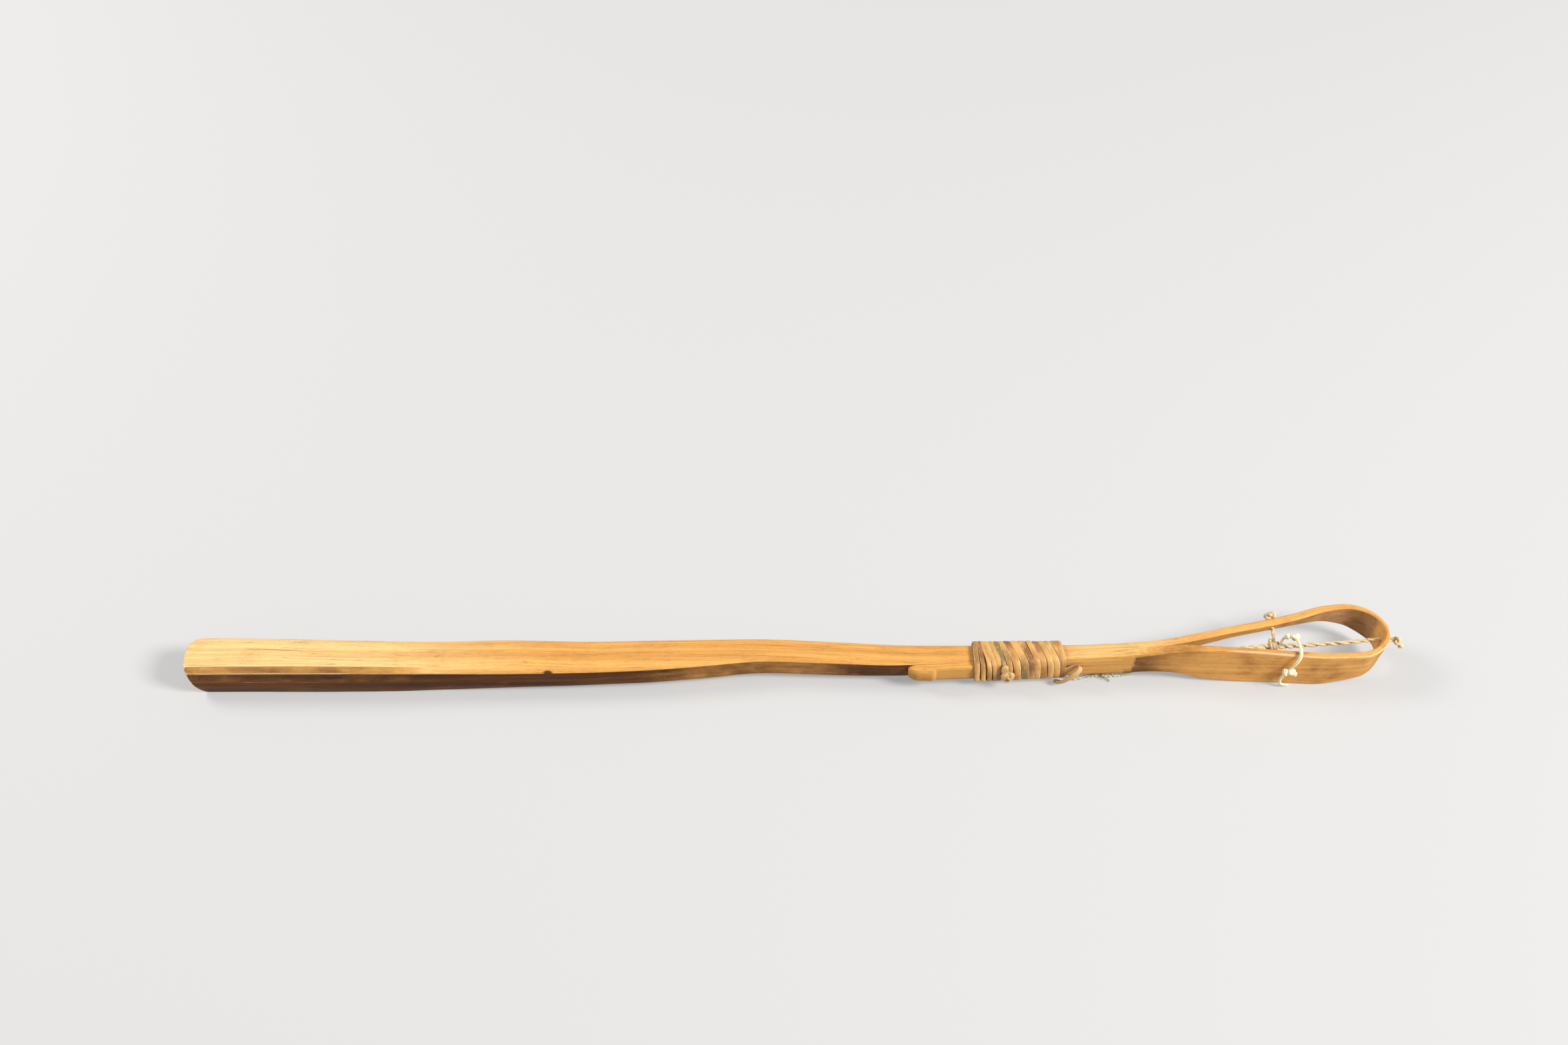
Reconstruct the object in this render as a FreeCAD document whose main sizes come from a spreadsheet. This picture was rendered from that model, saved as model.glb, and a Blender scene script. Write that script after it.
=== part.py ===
import FreeCAD, Part
import math
import os
import Sketcher

# A ball stick of the old lacrosse kind: one billet of hickory, left thick and faceted at the
# handle, shaved down to a shaft, thinned to a band that is bent round as the cup, and brought
# back along the shaft, where a wound leather thong binds the two. Cords lace the cup.
#
# The stick lies on its side. While it is drawn, "along" runs from the butt to the cup's tip,
# "side" runs across the cup from the near wall to the far arm, and z is up from the floor.
# Everything is shifted at the end, so that the origin is under the middle of the wood.
# All sizes are in millimetres.

Vector = FreeCAD.Vector
Rotation = FreeCAD.Rotation
Placement = FreeCAD.Placement

doc = FreeCAD.newDocument("ball_stick")
sizes = doc.addObject("Spreadsheet::Sheet", "sizes")

# The driving dimensions, each with its own alias in the sheet.
DIMENSIONS = {
    "cup_centre_along": 631.0,
    "cup_centre_side": 12.7,
    "cup_reach": 21.6,
    "cup_half_width": 19.0,
    "tip_hole_side": 10.2,
    "tip_hole_height": 18.2,
    "tip_hole_size": 3.4,
    "arm_hole_along": 589.6,
    "arm_hole_height": 21.6,
    "arm_hole_size": 2.3,
    "wall_hole_along": 595.6,
    "wall_hole_height": 13.0,
    "wall_hole_size": 2.2,
    "knob_along": 398.5,
    "knob_side": -7.5,
    "knob_height": 8.8,
    "knob_half_length": 7.0,
    "knob_half_depth": 3.3,
    "knob_half_height": 5.2,
    "recess_start": 406.0,
    "recess_end": 513.5,
    "thong_start": 427.5,
    "thong_end": 474.8,
    "thong_turns": 15,
    "thong_crest": 1.45,
    "thong_valley": 0.95,
    "thong_clearance": 0.35,
    "thong_slant": 10.0,
    "long_cord_size": 2.8,
    "cross_cord_size": 1.9,
    "lace_size": 1.8,
    "twine_size": 1.2,
    "thong_end_size": 1.4,
}

# The billet's sections from the butt to the free end of the bent-back limb. Each row gives
# the place along, the outer face's side, the top's height, the thickness measured inwards
# from the outer face, the height of the section, and its bevel across and down.
SHAFT = {
    "butt": (0.0, 12.4, 17.7, 25.4, 18.2, 4.5, 1.3),
    "grip_back": (42.0, 12.0, 18.1, 24.9, 18.6, 4.5, 1.3),
    "grip_middle": (93.0, 10.5, 18.1, 23.3, 18.6, 4.2, 1.3),
    "grip_front": (136.0, 10.9, 16.9, 22.9, 16.2, 3.8, 1.3),
    "handle_end": (175.0, 12.3, 16.4, 24.0, 14.2, 3.2, 1.3),
    "shaft_one": (218.0, 11.6, 16.0, 22.1, 13.0, 2.6, 1.2),
    "shaft_two": (251.0, 12.3, 15.9, 21.1, 12.6, 2.2, 1.1),
    "shaft_three": (280.0, 13.0, 15.8, 18.9, 12.6, 2.0, 1.1),
    "shaft_waist": (312.0, 13.5, 15.7, 16.0, 12.0, 1.9, 1.0),
    "shaft_four": (350.0, 11.8, 15.3, 15.4, 11.9, 1.8, 1.0),
    "shaft_five": (384.0, 10.0, 14.8, 14.6, 10.6, 1.8, 1.0),
    "shaft_six": (406.0, 9.4, 14.8, 13.1, 10.1, 1.7, 1.0),
    "shaft_seven": (428.0, 9.1, 15.2, 11.0, 10.4, 1.6, 1.0),
    "shaft_eight": (452.0, 8.5, 16.2, 8.7, 11.6, 1.5, 1.0),
    "throat_back": (476.0, 7.8, 17.1, 6.6, 12.6, 1.4, 1.0),
    "throat_middle": (497.0, 8.3, 17.5, 6.1, 12.7, 1.3, 0.9),
    "throat_front": (516.0, 9.0, 18.4, 5.6, 12.4, 1.2, 0.9),
}
ARM = {
    "arm_one": (532.0, 10.2, 19.8, 5.0, 9.8, 1.0, 0.9),
    "arm_two": (548.0, 12.4, 21.4, 4.8, 6.4, 0.8, 0.8),
    "arm_three": (566.0, 15.9, 23.0, 4.8, 5.0, 0.7, 0.7),
    "arm_four": (586.0, 19.8, 23.8, 4.8, 4.7, 0.7, 0.7),
    "arm_five": (604.0, 24.9, 24.0, 4.7, 5.6, 0.7, 0.7),
    "arm_six": (617.5, 29.5, 24.0, 4.4, 8.4, 0.7, 0.7),
}
WALL = {
    "wall_one": (615.0, -6.3, 23.0, 3.7, 23.2, 0.8, 0.8),
    "wall_two": (599.0, -5.8, 24.0, 3.5, 24.4, 0.8, 0.8),
    "wall_three": (582.0, -5.0, 25.3, 3.2, 25.7, 0.8, 0.8),
    "wall_four": (566.0, -4.4, 26.0, 3.2, 26.3, 0.8, 0.8),
    "wall_five": (550.0, -3.9, 25.0, 3.8, 23.4, 0.8, 0.8),
    "wall_six": (536.0, -2.8, 22.8, 4.4, 17.9, 0.9, 0.9),
    "wall_seven": (523.0, -2.3, 19.8, 4.7, 14.6, 0.9, 0.9),
}
LIMB = {
    "limb_one": (509.0, -2.6, 17.6, 5.0, 12.9, 0.9, 0.9),
    "limb_two": (493.5, -3.4, 17.2, 5.1, 12.8, 0.9, 0.9),
    "limb_three": (474.5, -4.4, 17.0, 5.2, 12.6, 0.9, 0.9),
    "limb_four": (451.5, -6.1, 15.6, 5.5, 10.9, 0.9, 0.9),
    "limb_five": (428.0, -7.9, 14.4, 5.6, 9.0, 0.9, 0.9),
    "limb_six": (408.0, -9.2, 13.8, 5.2, 8.6, 0.9, 0.9),
    "limb_end": (396.0, -9.0, 13.0, 4.5, 8.0, 1.0, 1.0),
}
MEASURES = ("along", "side", "top", "thick", "tall", "across", "down")

# The cup's round tip is half an ellipse in plan. Each row gives the angle round it from the
# far arm, the top's height, the thickness, the height, and the lean of the wall, in degrees,
# that carries its lower edge inwards.
TIP = {
    "tip_far": (0.0, 23.8, 3.9, 13.4, 2.0),
    "tip_far_bend": (30.0, 23.5, 3.3, 16.8, 6.0),
    "tip_far_end": (58.0, 23.2, 3.0, 17.2, 10.0),
    "tip_end": (85.0, 23.0, 3.0, 16.6, 12.0),
    "tip_near_end": (112.0, 22.8, 3.0, 16.6, 12.0),
    "tip_near_bend": (138.0, 22.6, 3.2, 17.2, 9.0),
    "tip_near": (162.0, 22.4, 3.6, 19.4, 5.0),
}
TIP_MEASURES = ("turn", "top", "thick", "tall", "lean")
TIP_BEVEL = 0.7

# Facets whittled off the butt, as corners of the wood that each one takes away: two in plan
# (along, side) and one underneath (along, up).
BUTT_FAR_FACET = [(-2.0, -6.5), (6.0, 14.5), (-2.0, 14.5)]
BUTT_NEAR_FACET = [(-2.0, -3.5), (5.6, -14.5), (-2.0, -14.5)]
BUTT_LOW_FACET = [(-2.0, 13.5), (12.5, -1.0), (-2.0, -1.0)]

# Straight cuts that square up the foot that the handle lies on: its two lower edges as
# corners of the wood taken away (side, up), and the rise at its front (along, up).
FOOT_FAR_EDGE = [(8.4, -0.5), (14.4, 5.5), (14.4, -0.5)]
FOOT_NEAR_EDGE = [(-10.7, -0.5), (-14.2, 5.0), (-14.2, -0.5)]
FOOT_RISE = [(108.0, 0.0), (150.0, 1.1), (150.0, -3.0), (108.0, -3.0)]

# Faces of the scraped recess in the limb's outer side, as places along and to the side.
RECESS_FLOOR = [(406.0, -8.3), (428.0, -6.8), (451.5, -5.05), (474.5, -3.4), (493.5, -2.45),
                (513.5, -1.35)]

# Wood inside the thong, as place along, near side, far side, bottom and top.
BOUND_WOOD = [(420.0, -7.4, 9.4, 4.7, 15.0), (482.0, -2.9, 7.9, 4.3, 17.5)]

# Routes of the cords, as places along, to the side, and up.
LONG_CORD_ROUTE = [(655.2, 9.8, 18.4), (645.6, 10.7, 17.9), (633.0, 9.3, 17.1),
                   (616.0, 8.3, 16.5), (598.0, 7.2, 16.2), (580.0, 6.6, 16.1),
                   (560.0, 4.6, 16.3), (535.0, 3.5, 16.8)]
CROSS_CORD_ROUTE = [(589.6, 22.8, 21.7), (589.6, 12.8, 21.5), (589.3, 8.8, 18.0)]
LACE_ROUTE = [(593.0, 6.8, 18.4), (593.6, 8.8, 21.4), (597.0, 9.4, 24.4), (600.2, 6.2, 25.6),
              (600.2, 1.6, 26.2), (600.6, -3.2, 26.2), (600.4, -7.3, 24.6),
              (599.0, -8.1, 20.2), (596.9, -7.7, 16.0), (594.4, -7.7, 11.4),
              (592.3, -7.9, 6.8), (592.4, -8.5, 3.0), (594.6, -9.2, 1.2), (597.3, -9.0, 1.0)]
TWINE_ROUTE = [(470.6, -2.6, 2.0), (475.4, -4.2, 0.9), (481.2, -3.8, 0.8), (487.0, -1.9, 0.8),
               (494.0, -0.2, 0.8), (500.6, -1.8, 0.8), (507.0, -0.4, 0.8), (514.0, 1.2, 0.8)]
THONG_END_ROUTE = [(472.6, -4.6, 5.2), (473.4, -6.4, 2.0), (477.0, -7.2, 1.0),
                   (481.0, -6.5, 2.8), (483.6, -5.9, 7.0), (481.4, -5.5, 10.6),
                   (477.2, -5.6, 10.0)]


def fill_sheet():
    """Write every driving dimension into the sheet, each in a cell with its alias."""
    row = 1
    for alias, value in DIMENSIONS.items():
        sizes.set(f"A{row}", alias.replace("_", " "))
        sizes.set(f"B{row}", str(value))
        sizes.setAlias(f"B{row}", alias)
        row += 1
    tables = [(SHAFT, MEASURES), (ARM, MEASURES), (WALL, MEASURES), (LIMB, MEASURES),
              (TIP, TIP_MEASURES)]
    for table, measures in tables:
        for station, values in table.items():
            sizes.set(f"A{row}", station.replace("_", " "))
            for letter, measure, value in zip("BCDEFGH", measures, values):
                sizes.set(f"{letter}{row}", str(value))
                sizes.setAlias(f"{letter}{row}", f"{station}_{measure}")
            row += 1
    doc.recompute()


def size(alias):
    """Return the plain number that a cell holds."""
    return float(sizes.get(alias))


def origin_plane(body, role):
    """Return one of a body's own origin planes."""
    return next(plane for plane in body.Origin.OriginFeatures if plane.Role == role)


def new_sketch(body, name, role):
    """Return an empty sketch on one of the body's origin planes."""
    sketch = body.newObject("Sketcher::SketchObject", name)
    sketch.AttachmentSupport = (origin_plane(body, role), [""])
    sketch.MapMode = "FlatFace"
    return sketch


def draw_polygon(sketch, points):
    """Draw a closed outline of lines and return how many there are."""
    count = len(points)
    for start in range(count):
        low = Vector(*points[start], 0)
        high = Vector(*points[(start + 1) % count], 0)
        sketch.addGeometry(Part.LineSegment(low, high), False)
    for line in range(count):
        sketch.addConstraint(Sketcher.Constraint("Coincident", line, 2, (line + 1) % count, 1))
    return count


def draw_section(sketch, name, thick, tall, across, down):
    """Draw a bevelled section hung from its outer top corner, bound to the sheet."""
    outline = [(-across, 0), (across - thick, 0), (-thick, -down), (-thick, across - tall),
               (down - thick, -tall), (-down, -tall), (0, across - tall), (0, -down)]
    draw_polygon(sketch, outline)
    top, upper_inner, inner, lower_inner, bottom, lower_outer, outer, upper_outer = range(8)
    for line in (top, bottom):
        sketch.addConstraint(Sketcher.Constraint("Horizontal", line))
    for line in (inner, outer):
        sketch.addConstraint(Sketcher.Constraint("Vertical", line))
    sketch.addConstraint(Sketcher.Constraint("PointOnObject", top, 1, -1))
    sketch.addConstraint(Sketcher.Constraint("PointOnObject", outer, 2, -2))
    spans = [
        ("thickness", "DistanceX", inner, 1, outer, 2, thick, "thick"),
        ("height", "DistanceY", bottom, 1, top, 1, tall, "tall"),
        ("top_outer_across", "DistanceX", top, 1, upper_outer, 1, across, "across"),
        ("top_outer_down", "DistanceY", upper_outer, 1, top, 1, down, "down"),
        ("top_inner_across", "DistanceX", upper_inner, 2, upper_inner, 1, across, "across"),
        ("top_inner_down", "DistanceY", upper_inner, 2, upper_inner, 1, down, "down"),
        ("low_inner_across", "DistanceX", lower_inner, 1, lower_inner, 2, down, "down"),
        ("low_inner_up", "DistanceY", lower_inner, 2, lower_inner, 1, across, "across"),
        ("low_outer_across", "DistanceX", lower_outer, 1, lower_outer, 2, down, "down"),
        ("low_outer_up", "DistanceY", lower_outer, 1, lower_outer, 2, across, "across"),
    ]
    for label, kind, first, first_end, second, second_end, value, measure in spans:
        index = sketch.addConstraint(
            Sketcher.Constraint(kind, first, first_end, second, second_end, value))
        sketch.renameConstraint(index, label)
        if name is not None:
            sketch.setExpression(f"Constraints.{label}", f"sizes.{name}_{measure}")


def place_section(sketch, heading, lean, along, side, top):
    """Stand a section across the billet: heading and lean in degrees, the rest expressions."""
    turned = Rotation(Vector(0, 1, 0), heading)
    leaned = Rotation(Vector(0, 0, 1), -lean)
    sketch.AttachmentOffset = Placement(Vector(0, 0, 0), turned * leaned)
    sketch.setExpression("AttachmentOffset.Base.x", side)
    sketch.setExpression("AttachmentOffset.Base.y", top)
    sketch.setExpression("AttachmentOffset.Base.z", along)


def straight_section(body, name, heading):
    """Add one section of the shaft, arm, wall or limb."""
    sketch = new_sketch(body, f"section_{name}", "YZ_Plane")
    values = [size(f"{name}_{measure}") for measure in MEASURES[3:]]
    draw_section(sketch, name, *values)
    place_section(sketch, heading, 0, f"sizes.{name}_along", f"sizes.{name}_side",
                  f"sizes.{name}_top")
    return sketch


def tip_section(body, name):
    """Add one section of the cup's round tip, square to its ellipse."""
    sketch = new_sketch(body, f"section_{name}", "YZ_Plane")
    draw_section(sketch, None, size(f"{name}_thick"), size(f"{name}_tall"), TIP_BEVEL, TIP_BEVEL)
    sketch.setExpression("Constraints.thickness", f"sizes.{name}_thick")
    sketch.setExpression("Constraints.height", f"sizes.{name}_tall")
    turn = math.radians(size(f"{name}_turn"))
    heading = math.degrees(math.atan2(-size("cup_half_width") * math.sin(turn),
                                      size("cup_reach") * math.cos(turn)))
    along = f"sizes.cup_centre_along + sizes.cup_reach * sin(sizes.{name}_turn * 1 deg)"
    side = f"sizes.cup_centre_side + sizes.cup_half_width * cos(sizes.{name}_turn * 1 deg)"
    place_section(sketch, heading, size(f"{name}_lean"), along, side, f"sizes.{name}_top")
    return sketch


def headings(stations, start, end):
    """Return each station's direction, from the stations beside it or the given ends."""
    places = [start] + [(size(f"{name}_along"), size(f"{name}_side")) for name in stations]
    places = places + [end]
    found = []
    for before, after in zip(places, places[2:]):
        found.append(math.degrees(math.atan2(after[1] - before[1], after[0] - before[0])))
    return found


def billet_sections(body):
    """Return the sections of the whole billet, from the butt round to the limb's end."""
    far_side = (size("cup_centre_along"), size("cup_centre_side") + size("cup_half_width"))
    near_side = (size("cup_centre_along"), size("cup_centre_side") - size("cup_half_width"))
    last_of_shaft = (size("throat_front_along"), size("throat_front_side"))
    first_of_limb = (size("limb_one_along"), size("limb_one_side"))
    sections = [straight_section(body, name, 0) for name in SHAFT]
    for name, heading in zip(ARM, headings(ARM, last_of_shaft, far_side)):
        sections.append(straight_section(body, name, heading))
    for name in TIP:
        sections.append(tip_section(body, name))
    for name, heading in zip(WALL, headings(WALL, near_side, first_of_limb)):
        sections.append(straight_section(body, name, heading))
    for name in LIMB:
        sections.append(straight_section(body, name, 180))
    return sections


def pocket_through(body, sketch, length):
    """Cut a sketch's shape out on both sides of its plane, and check that it cut."""
    doc.recompute()
    before = len(body.Shape.Faces)
    pocket = body.newObject("PartDesign::Pocket", sketch.Name + "_cut")
    pocket.Profile = sketch
    pocket.Midplane = True
    pocket.Length = length
    doc.recompute()
    if len(body.Shape.Faces) == before:
        raise RuntimeError(f"{sketch.Name} cut nothing")
    return pocket


def drill(body, name, role, base, hole):
    """Drill a round hole whose middle is given by expressions, square to a plane."""
    sketch = new_sketch(body, name, role)
    sketch.addGeometry(Part.Circle(Vector(0, 0, 0), Vector(0, 0, 1), size(hole) / 2), False)
    sketch.addConstraint(Sketcher.Constraint("Coincident", 0, 3, -1, 1))
    index = sketch.addConstraint(Sketcher.Constraint("Diameter", 0, size(hole)))
    sketch.renameConstraint(index, "bore")
    sketch.setExpression("Constraints.bore", f"sizes.{hole}")
    for axis, expression in zip("xyz", base):
        sketch.setExpression(f"AttachmentOffset.Base.{axis}", expression)
    wall_span = 14
    pocket_through(body, sketch, wall_span)


def make_stick():
    """Loft the billet, plane its underside, scrape the recess, add the knob, drill holes."""
    body = doc.addObject("PartDesign::Body", "stick")
    sections = billet_sections(body)
    doc.recompute()
    billet = body.newObject("PartDesign::AdditiveLoft", "bent_billet")
    billet.Profile = sections[0]
    billet.Sections = sections[1:]
    billet.Ruled = False
    doc.recompute()

    # The handle's underside and the near wall's lower edge are planed to one plane.
    floor_depth = 6
    margin = 40
    far_end = size("cup_centre_along") + size("cup_reach") + margin
    planed = new_sketch(body, "planed_underside", "XY_Plane")
    draw_polygon(planed, [(-margin, -margin), (far_end, -margin), (far_end, 2 * margin),
                          (-margin, 2 * margin)])
    planed.AttachmentOffset = Placement(Vector(0, 0, -floor_depth / 2), Rotation())
    pocket_through(body, planed, floor_depth)

    # The butt is whittled to facets, and the foot under the handle is squared up.
    handle_depth = 60
    foot_reach = 500
    for name, role, facet, length in (
            ("butt_far_facet", "XY_Plane", BUTT_FAR_FACET, handle_depth),
            ("butt_near_facet", "XY_Plane", BUTT_NEAR_FACET, handle_depth),
            ("butt_low_facet", "XZ_Plane", BUTT_LOW_FACET, handle_depth),
            ("foot_rise", "XZ_Plane", FOOT_RISE, handle_depth),
            ("foot_far_edge", "YZ_Plane", FOOT_FAR_EDGE, foot_reach),
            ("foot_near_edge", "YZ_Plane", FOOT_NEAR_EDGE, foot_reach)):
        whittled = new_sketch(body, name, role)
        draw_polygon(whittled, facet)
        pocket_through(body, whittled, length)

    # The limb's outer face is scraped back between its knob and a step at the throat.
    recess = new_sketch(body, "scraped_recess", "XY_Plane")
    outside = size("knob_side") - 4 * size("knob_half_depth")
    draw_polygon(recess, RECESS_FLOOR + [(size("recess_end"), outside),
                                         (size("recess_start"), outside)])
    band_height = 80
    pocket_through(body, recess, band_height)

    knob = body.newObject("PartDesign::AdditiveEllipsoid", "limb_knob")
    knob.setExpression("Radius1", "sizes.knob_half_height")
    knob.setExpression("Radius2", "sizes.knob_half_length")
    knob.setExpression("Radius3", "sizes.knob_half_depth")
    knob.AttachmentSupport = (origin_plane(body, "XY_Plane"), [""])
    knob.MapMode = "FlatFace"
    knob.setExpression("AttachmentOffset.Base.x", "sizes.knob_along")
    knob.setExpression("AttachmentOffset.Base.y", "sizes.knob_side")
    knob.setExpression("AttachmentOffset.Base.z", "sizes.knob_height")

    drill(body, "tip_hole", "YZ_Plane",
          ("sizes.tip_hole_side", "sizes.tip_hole_height",
           "sizes.cup_centre_along + sizes.cup_reach"), "tip_hole_size")
    drill(body, "arm_hole", "XZ_Plane",
          ("sizes.arm_hole_along", "sizes.arm_hole_height", "-sizes.arm_four_side"),
          "arm_hole_size")
    drill(body, "wall_hole", "XZ_Plane",
          ("sizes.wall_hole_along", "sizes.wall_hole_height", "-sizes.wall_two_side"),
          "wall_hole_size")
    return body


def feature(name, shape):
    """Hold a shape made with Part's functions in a named document object."""
    item = doc.addObject("Part::Feature", name)
    item.Shape = shape
    return item


def bound_wood(along):
    """Return the near side, far side, bottom and top of the wood under the thong."""
    back, front = BOUND_WOOD
    share = (along - back[0]) / (front[0] - back[0])
    return [start + share * (end - start) for start, end in zip(back[1:], front[1:])]


def thong_loop(along, skin):
    """Return a rounded loop round the bound wood, a skin's thickness outside it."""
    near, far, bottom, top = bound_wood(along)
    near -= skin
    far += skin
    bottom -= skin
    top += skin
    corner = 0.8 + skin
    middle = (bottom + top) / 2
    slant = math.radians(size("thong_slant"))
    corners = [(near, bottom, 180), (far, bottom, 270), (far, top, 0), (near, top, 90)]

    ring = []
    for side, up, start in corners:
        centre_side = side + corner if side == near else side - corner
        centre_up = up + corner if up == bottom else up - corner
        for share in (0, 45, 90):
            angle = math.radians(start + share)
            point_up = centre_up + corner * math.sin(angle)
            ring.append(Vector(along - (point_up - middle) * math.tan(slant),
                               centre_side + corner * math.cos(angle), point_up))
    return Part.makePolygon(ring + ring[:1])


def make_thong():
    """Wind the thong, with its knot on the near face and its free end curling up.

    The turns are the ridges of one skin, over a bore that clears the wood.
    """
    turns = int(size("thong_turns"))
    start = size("thong_start")
    pitch = (size("thong_end") - start) / turns
    shoulder = 0.26 * pitch
    loops = [thong_loop(start, size("thong_valley"))]
    for turn in range(turns):
        before = start + turn * pitch
        loops.append(thong_loop(before + shoulder, size("thong_crest")))
        loops.append(thong_loop(before + pitch - shoulder, size("thong_crest")))
        loops.append(thong_loop(before + pitch, size("thong_valley")))
    skin_solid = Part.makeLoft(loops, True, True)
    reach = 4
    bore_places = [start - reach, size("thong_end") + reach]
    bore = [thong_loop(along, size("thong_clearance")) for along in bore_places]
    turned = skin_solid.cut(Part.makeLoft(bore, True, True))
    knot = knot_of(((443.4, -7.9, 13.8), 1.95), ((444.2, -8.2, 11.2), 1.8),
                   ((445.0, -7.9, 8.4), 1.95))
    free_end = tube(THONG_END_ROUTE, size("thong_end_size"), "thong_end")
    return feature("lashing_thong", turned.fuse(knot).fuse(free_end))


def route_edges(route, name):
    """Return straight runs joined by tangent arcs along a route, and print the arcs' radii."""
    points = [Vector(*place) for place in route]
    edges = []
    radii = []
    last = points[0]
    for before, corner, after in zip(points, points[1:], points[2:]):
        back = (before - corner).normalize()
        ahead = (after - corner).normalize()
        half_turn = (math.pi - back.getAngle(ahead)) / 2
        cut = 0.45 * min((before - corner).Length, (after - corner).Length)
        radius = cut / math.tan(half_turn)
        start = corner + back * cut
        end = corner + ahead * cut
        inward = (back + ahead).normalize()
        middle = corner + inward * (radius / math.cos(half_turn) - radius)
        edges.append(Part.LineSegment(last, start).toShape())
        edges.append(Part.Arc(start, middle, end).toShape())
        radii.append(round(radius, 1))
        last = end
    edges.append(Part.LineSegment(last, points[-1]).toShape())
    print(name, "radii", radii, "length", round(sum(edge.Length for edge in edges), 1))
    return edges


def ring_about(centre, direction, radius):
    """Return an eight-sided ring square to a direction, as wide as a circle of that radius."""
    facing = Rotation(Vector(0, 0, 1), direction)
    corners = []
    for corner in range(9):
        angle = math.radians(45 * corner + 22.5)
        corners.append(centre + facing * Vector(radius * math.cos(angle),
                                                radius * math.sin(angle), 0))
    return Part.makePolygon(corners)


def tube(route, diameter, name):
    """Return a tube along a route, checked against its section times its length."""
    edges = route_edges(route, name)
    path = Part.Wire(edges)
    start = Vector(*route[0])
    section = ring_about(start, Vector(*route[1]) - start, diameter / 2)
    solid = path.makePipeShell([section], True, False)
    expected = Part.Face(section).Area * path.Length
    if abs(solid.Volume - expected) > 0.01 * expected:
        raise RuntimeError(f"the tube of {name} is not its section times its length")
    return solid


def bead(centre, direction, steps):
    """Return a faceted lump along a direction, from pairs of a distance and a radius."""
    facing = Vector(*direction).normalize()
    rings = [ring_about(Vector(*centre) + facing * along, facing, radius)
             for along, radius in steps]
    return Part.makeLoft(rings, True, True)


def knot_of(*balls):
    """Return a knot's lobes, each a ball given by its centre and half width."""
    across = (1, 0.3, 0.2)
    lobes = [bead(centre, across, [(-half, 0.4 * half), (-0.55 * half, 0.85 * half),
                                   (0, half), (0.55 * half, 0.85 * half), (half, 0.4 * half)])
             for centre, half in balls]
    return lobes[0].multiFuse(lobes[1:]) if len(lobes) > 1 else lobes[0]


def make_long_cord():
    """The twisted cord from the tip to the throat, with the knot outside the tip."""
    cord = tube(LONG_CORD_ROUTE, size("long_cord_size"), "long_cord")
    knot = knot_of(((656.0, 9.4, 18.5), 2.4), ((657.0, 7.2, 17.4), 1.9))
    return feature("long_cord", cord.fuse(knot))


def make_cross_cord():
    """The cord from the far arm to the long cord, with its knot and its wraps."""
    cord = tube(CROSS_CORD_ROUTE, size("cross_cord_size"), "cross_cord")
    knot = knot_of(((590.9, 23.4, 23.0), 2.1), ((588.4, 23.2, 22.0), 1.9))
    bore = size("long_cord_size") / 2 + 0.25
    valley = bore + 0.6 * size("cross_cord_size")
    crest = bore + 0.9 * size("cross_cord_size")
    middle = (589.3, 6.95, 16.2)
    along = (18.0, 0.6, 0.1)
    pitch = 0.85 * size("cross_cord_size")
    wraps = [(step * pitch / 2, valley if step % 2 else crest) for step in range(-3, 4)]
    sleeve = bead(middle, along, wraps).cut(bead(middle, along, [(-9, bore), (9, bore)]))
    shape = cord.fuse(knot).fuse(sleeve)
    return feature("cross_cord", shape)


def make_white_lace():
    """The smooth lace from the long cord over the near wall, with its two knots."""
    lace = tube(LACE_ROUTE, size("lace_size"), "white_lace")
    upper_knot = knot_of(((597.6, 8.9, 25.0), 2.0), ((600.2, 6.6, 25.4), 1.8))
    wall_knot = knot_of(((593.6, -7.9, 12.6), 1.8), ((596.6, -7.9, 13.9), 1.9))
    return feature("white_lace", lace.fuse(upper_knot).fuse(wall_knot))


def make_twine():
    """The loose end of twine on the floor beside the throat, with its frayed knot."""
    twine = tube(TWINE_ROUTE, size("twine_size"), "loose_twine")
    knot = knot_of(((497.4, -0.9, 1.5), 1.3), ((499.2, -1.4, 1.5), 1.1))
    return feature("loose_twine", twine.fuse(knot))


def main():
    """Build every sub-part, set them on the frame's origin, check and write them."""
    fill_sheet()
    stick = make_stick()
    doc.recompute()
    parts = [stick, make_thong(), make_long_cord(), make_cross_cord(), make_white_lace(),
             make_twine()]
    box = stick.Shape.optimalBoundingBox(False)
    seat = Vector(-box.Center.x, -box.Center.y, -box.ZMin)
    for part in parts:
        part.Label = part.Name
        part.Placement = Placement(seat, Rotation()) * part.Placement
    doc.recompute()
    print("seat", seat, "wood", box.XLength, box.YLength, box.ZLength)
    for item in doc.Objects:
        if "Invalid" in item.State or "Error" in item.State:
            raise RuntimeError(f"{item.Name} failed")
    os.makedirs("parts", exist_ok=True)
    for part in parts:
        if part.Shape.isNull() or not part.Shape.isValid():
            raise RuntimeError(f"{part.Label} has no valid shape")
        print(part.Label, len(part.Shape.Solids), round(part.Shape.Volume / 1000, 2), "cm3")
        part.Shape.exportStep(f"parts/{part.Label}.step")


main()
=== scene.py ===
import bisect
import math
import random
from collections import namedtuple

import bmesh
import bpy
from mathutils import Euler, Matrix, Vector, noise


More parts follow.
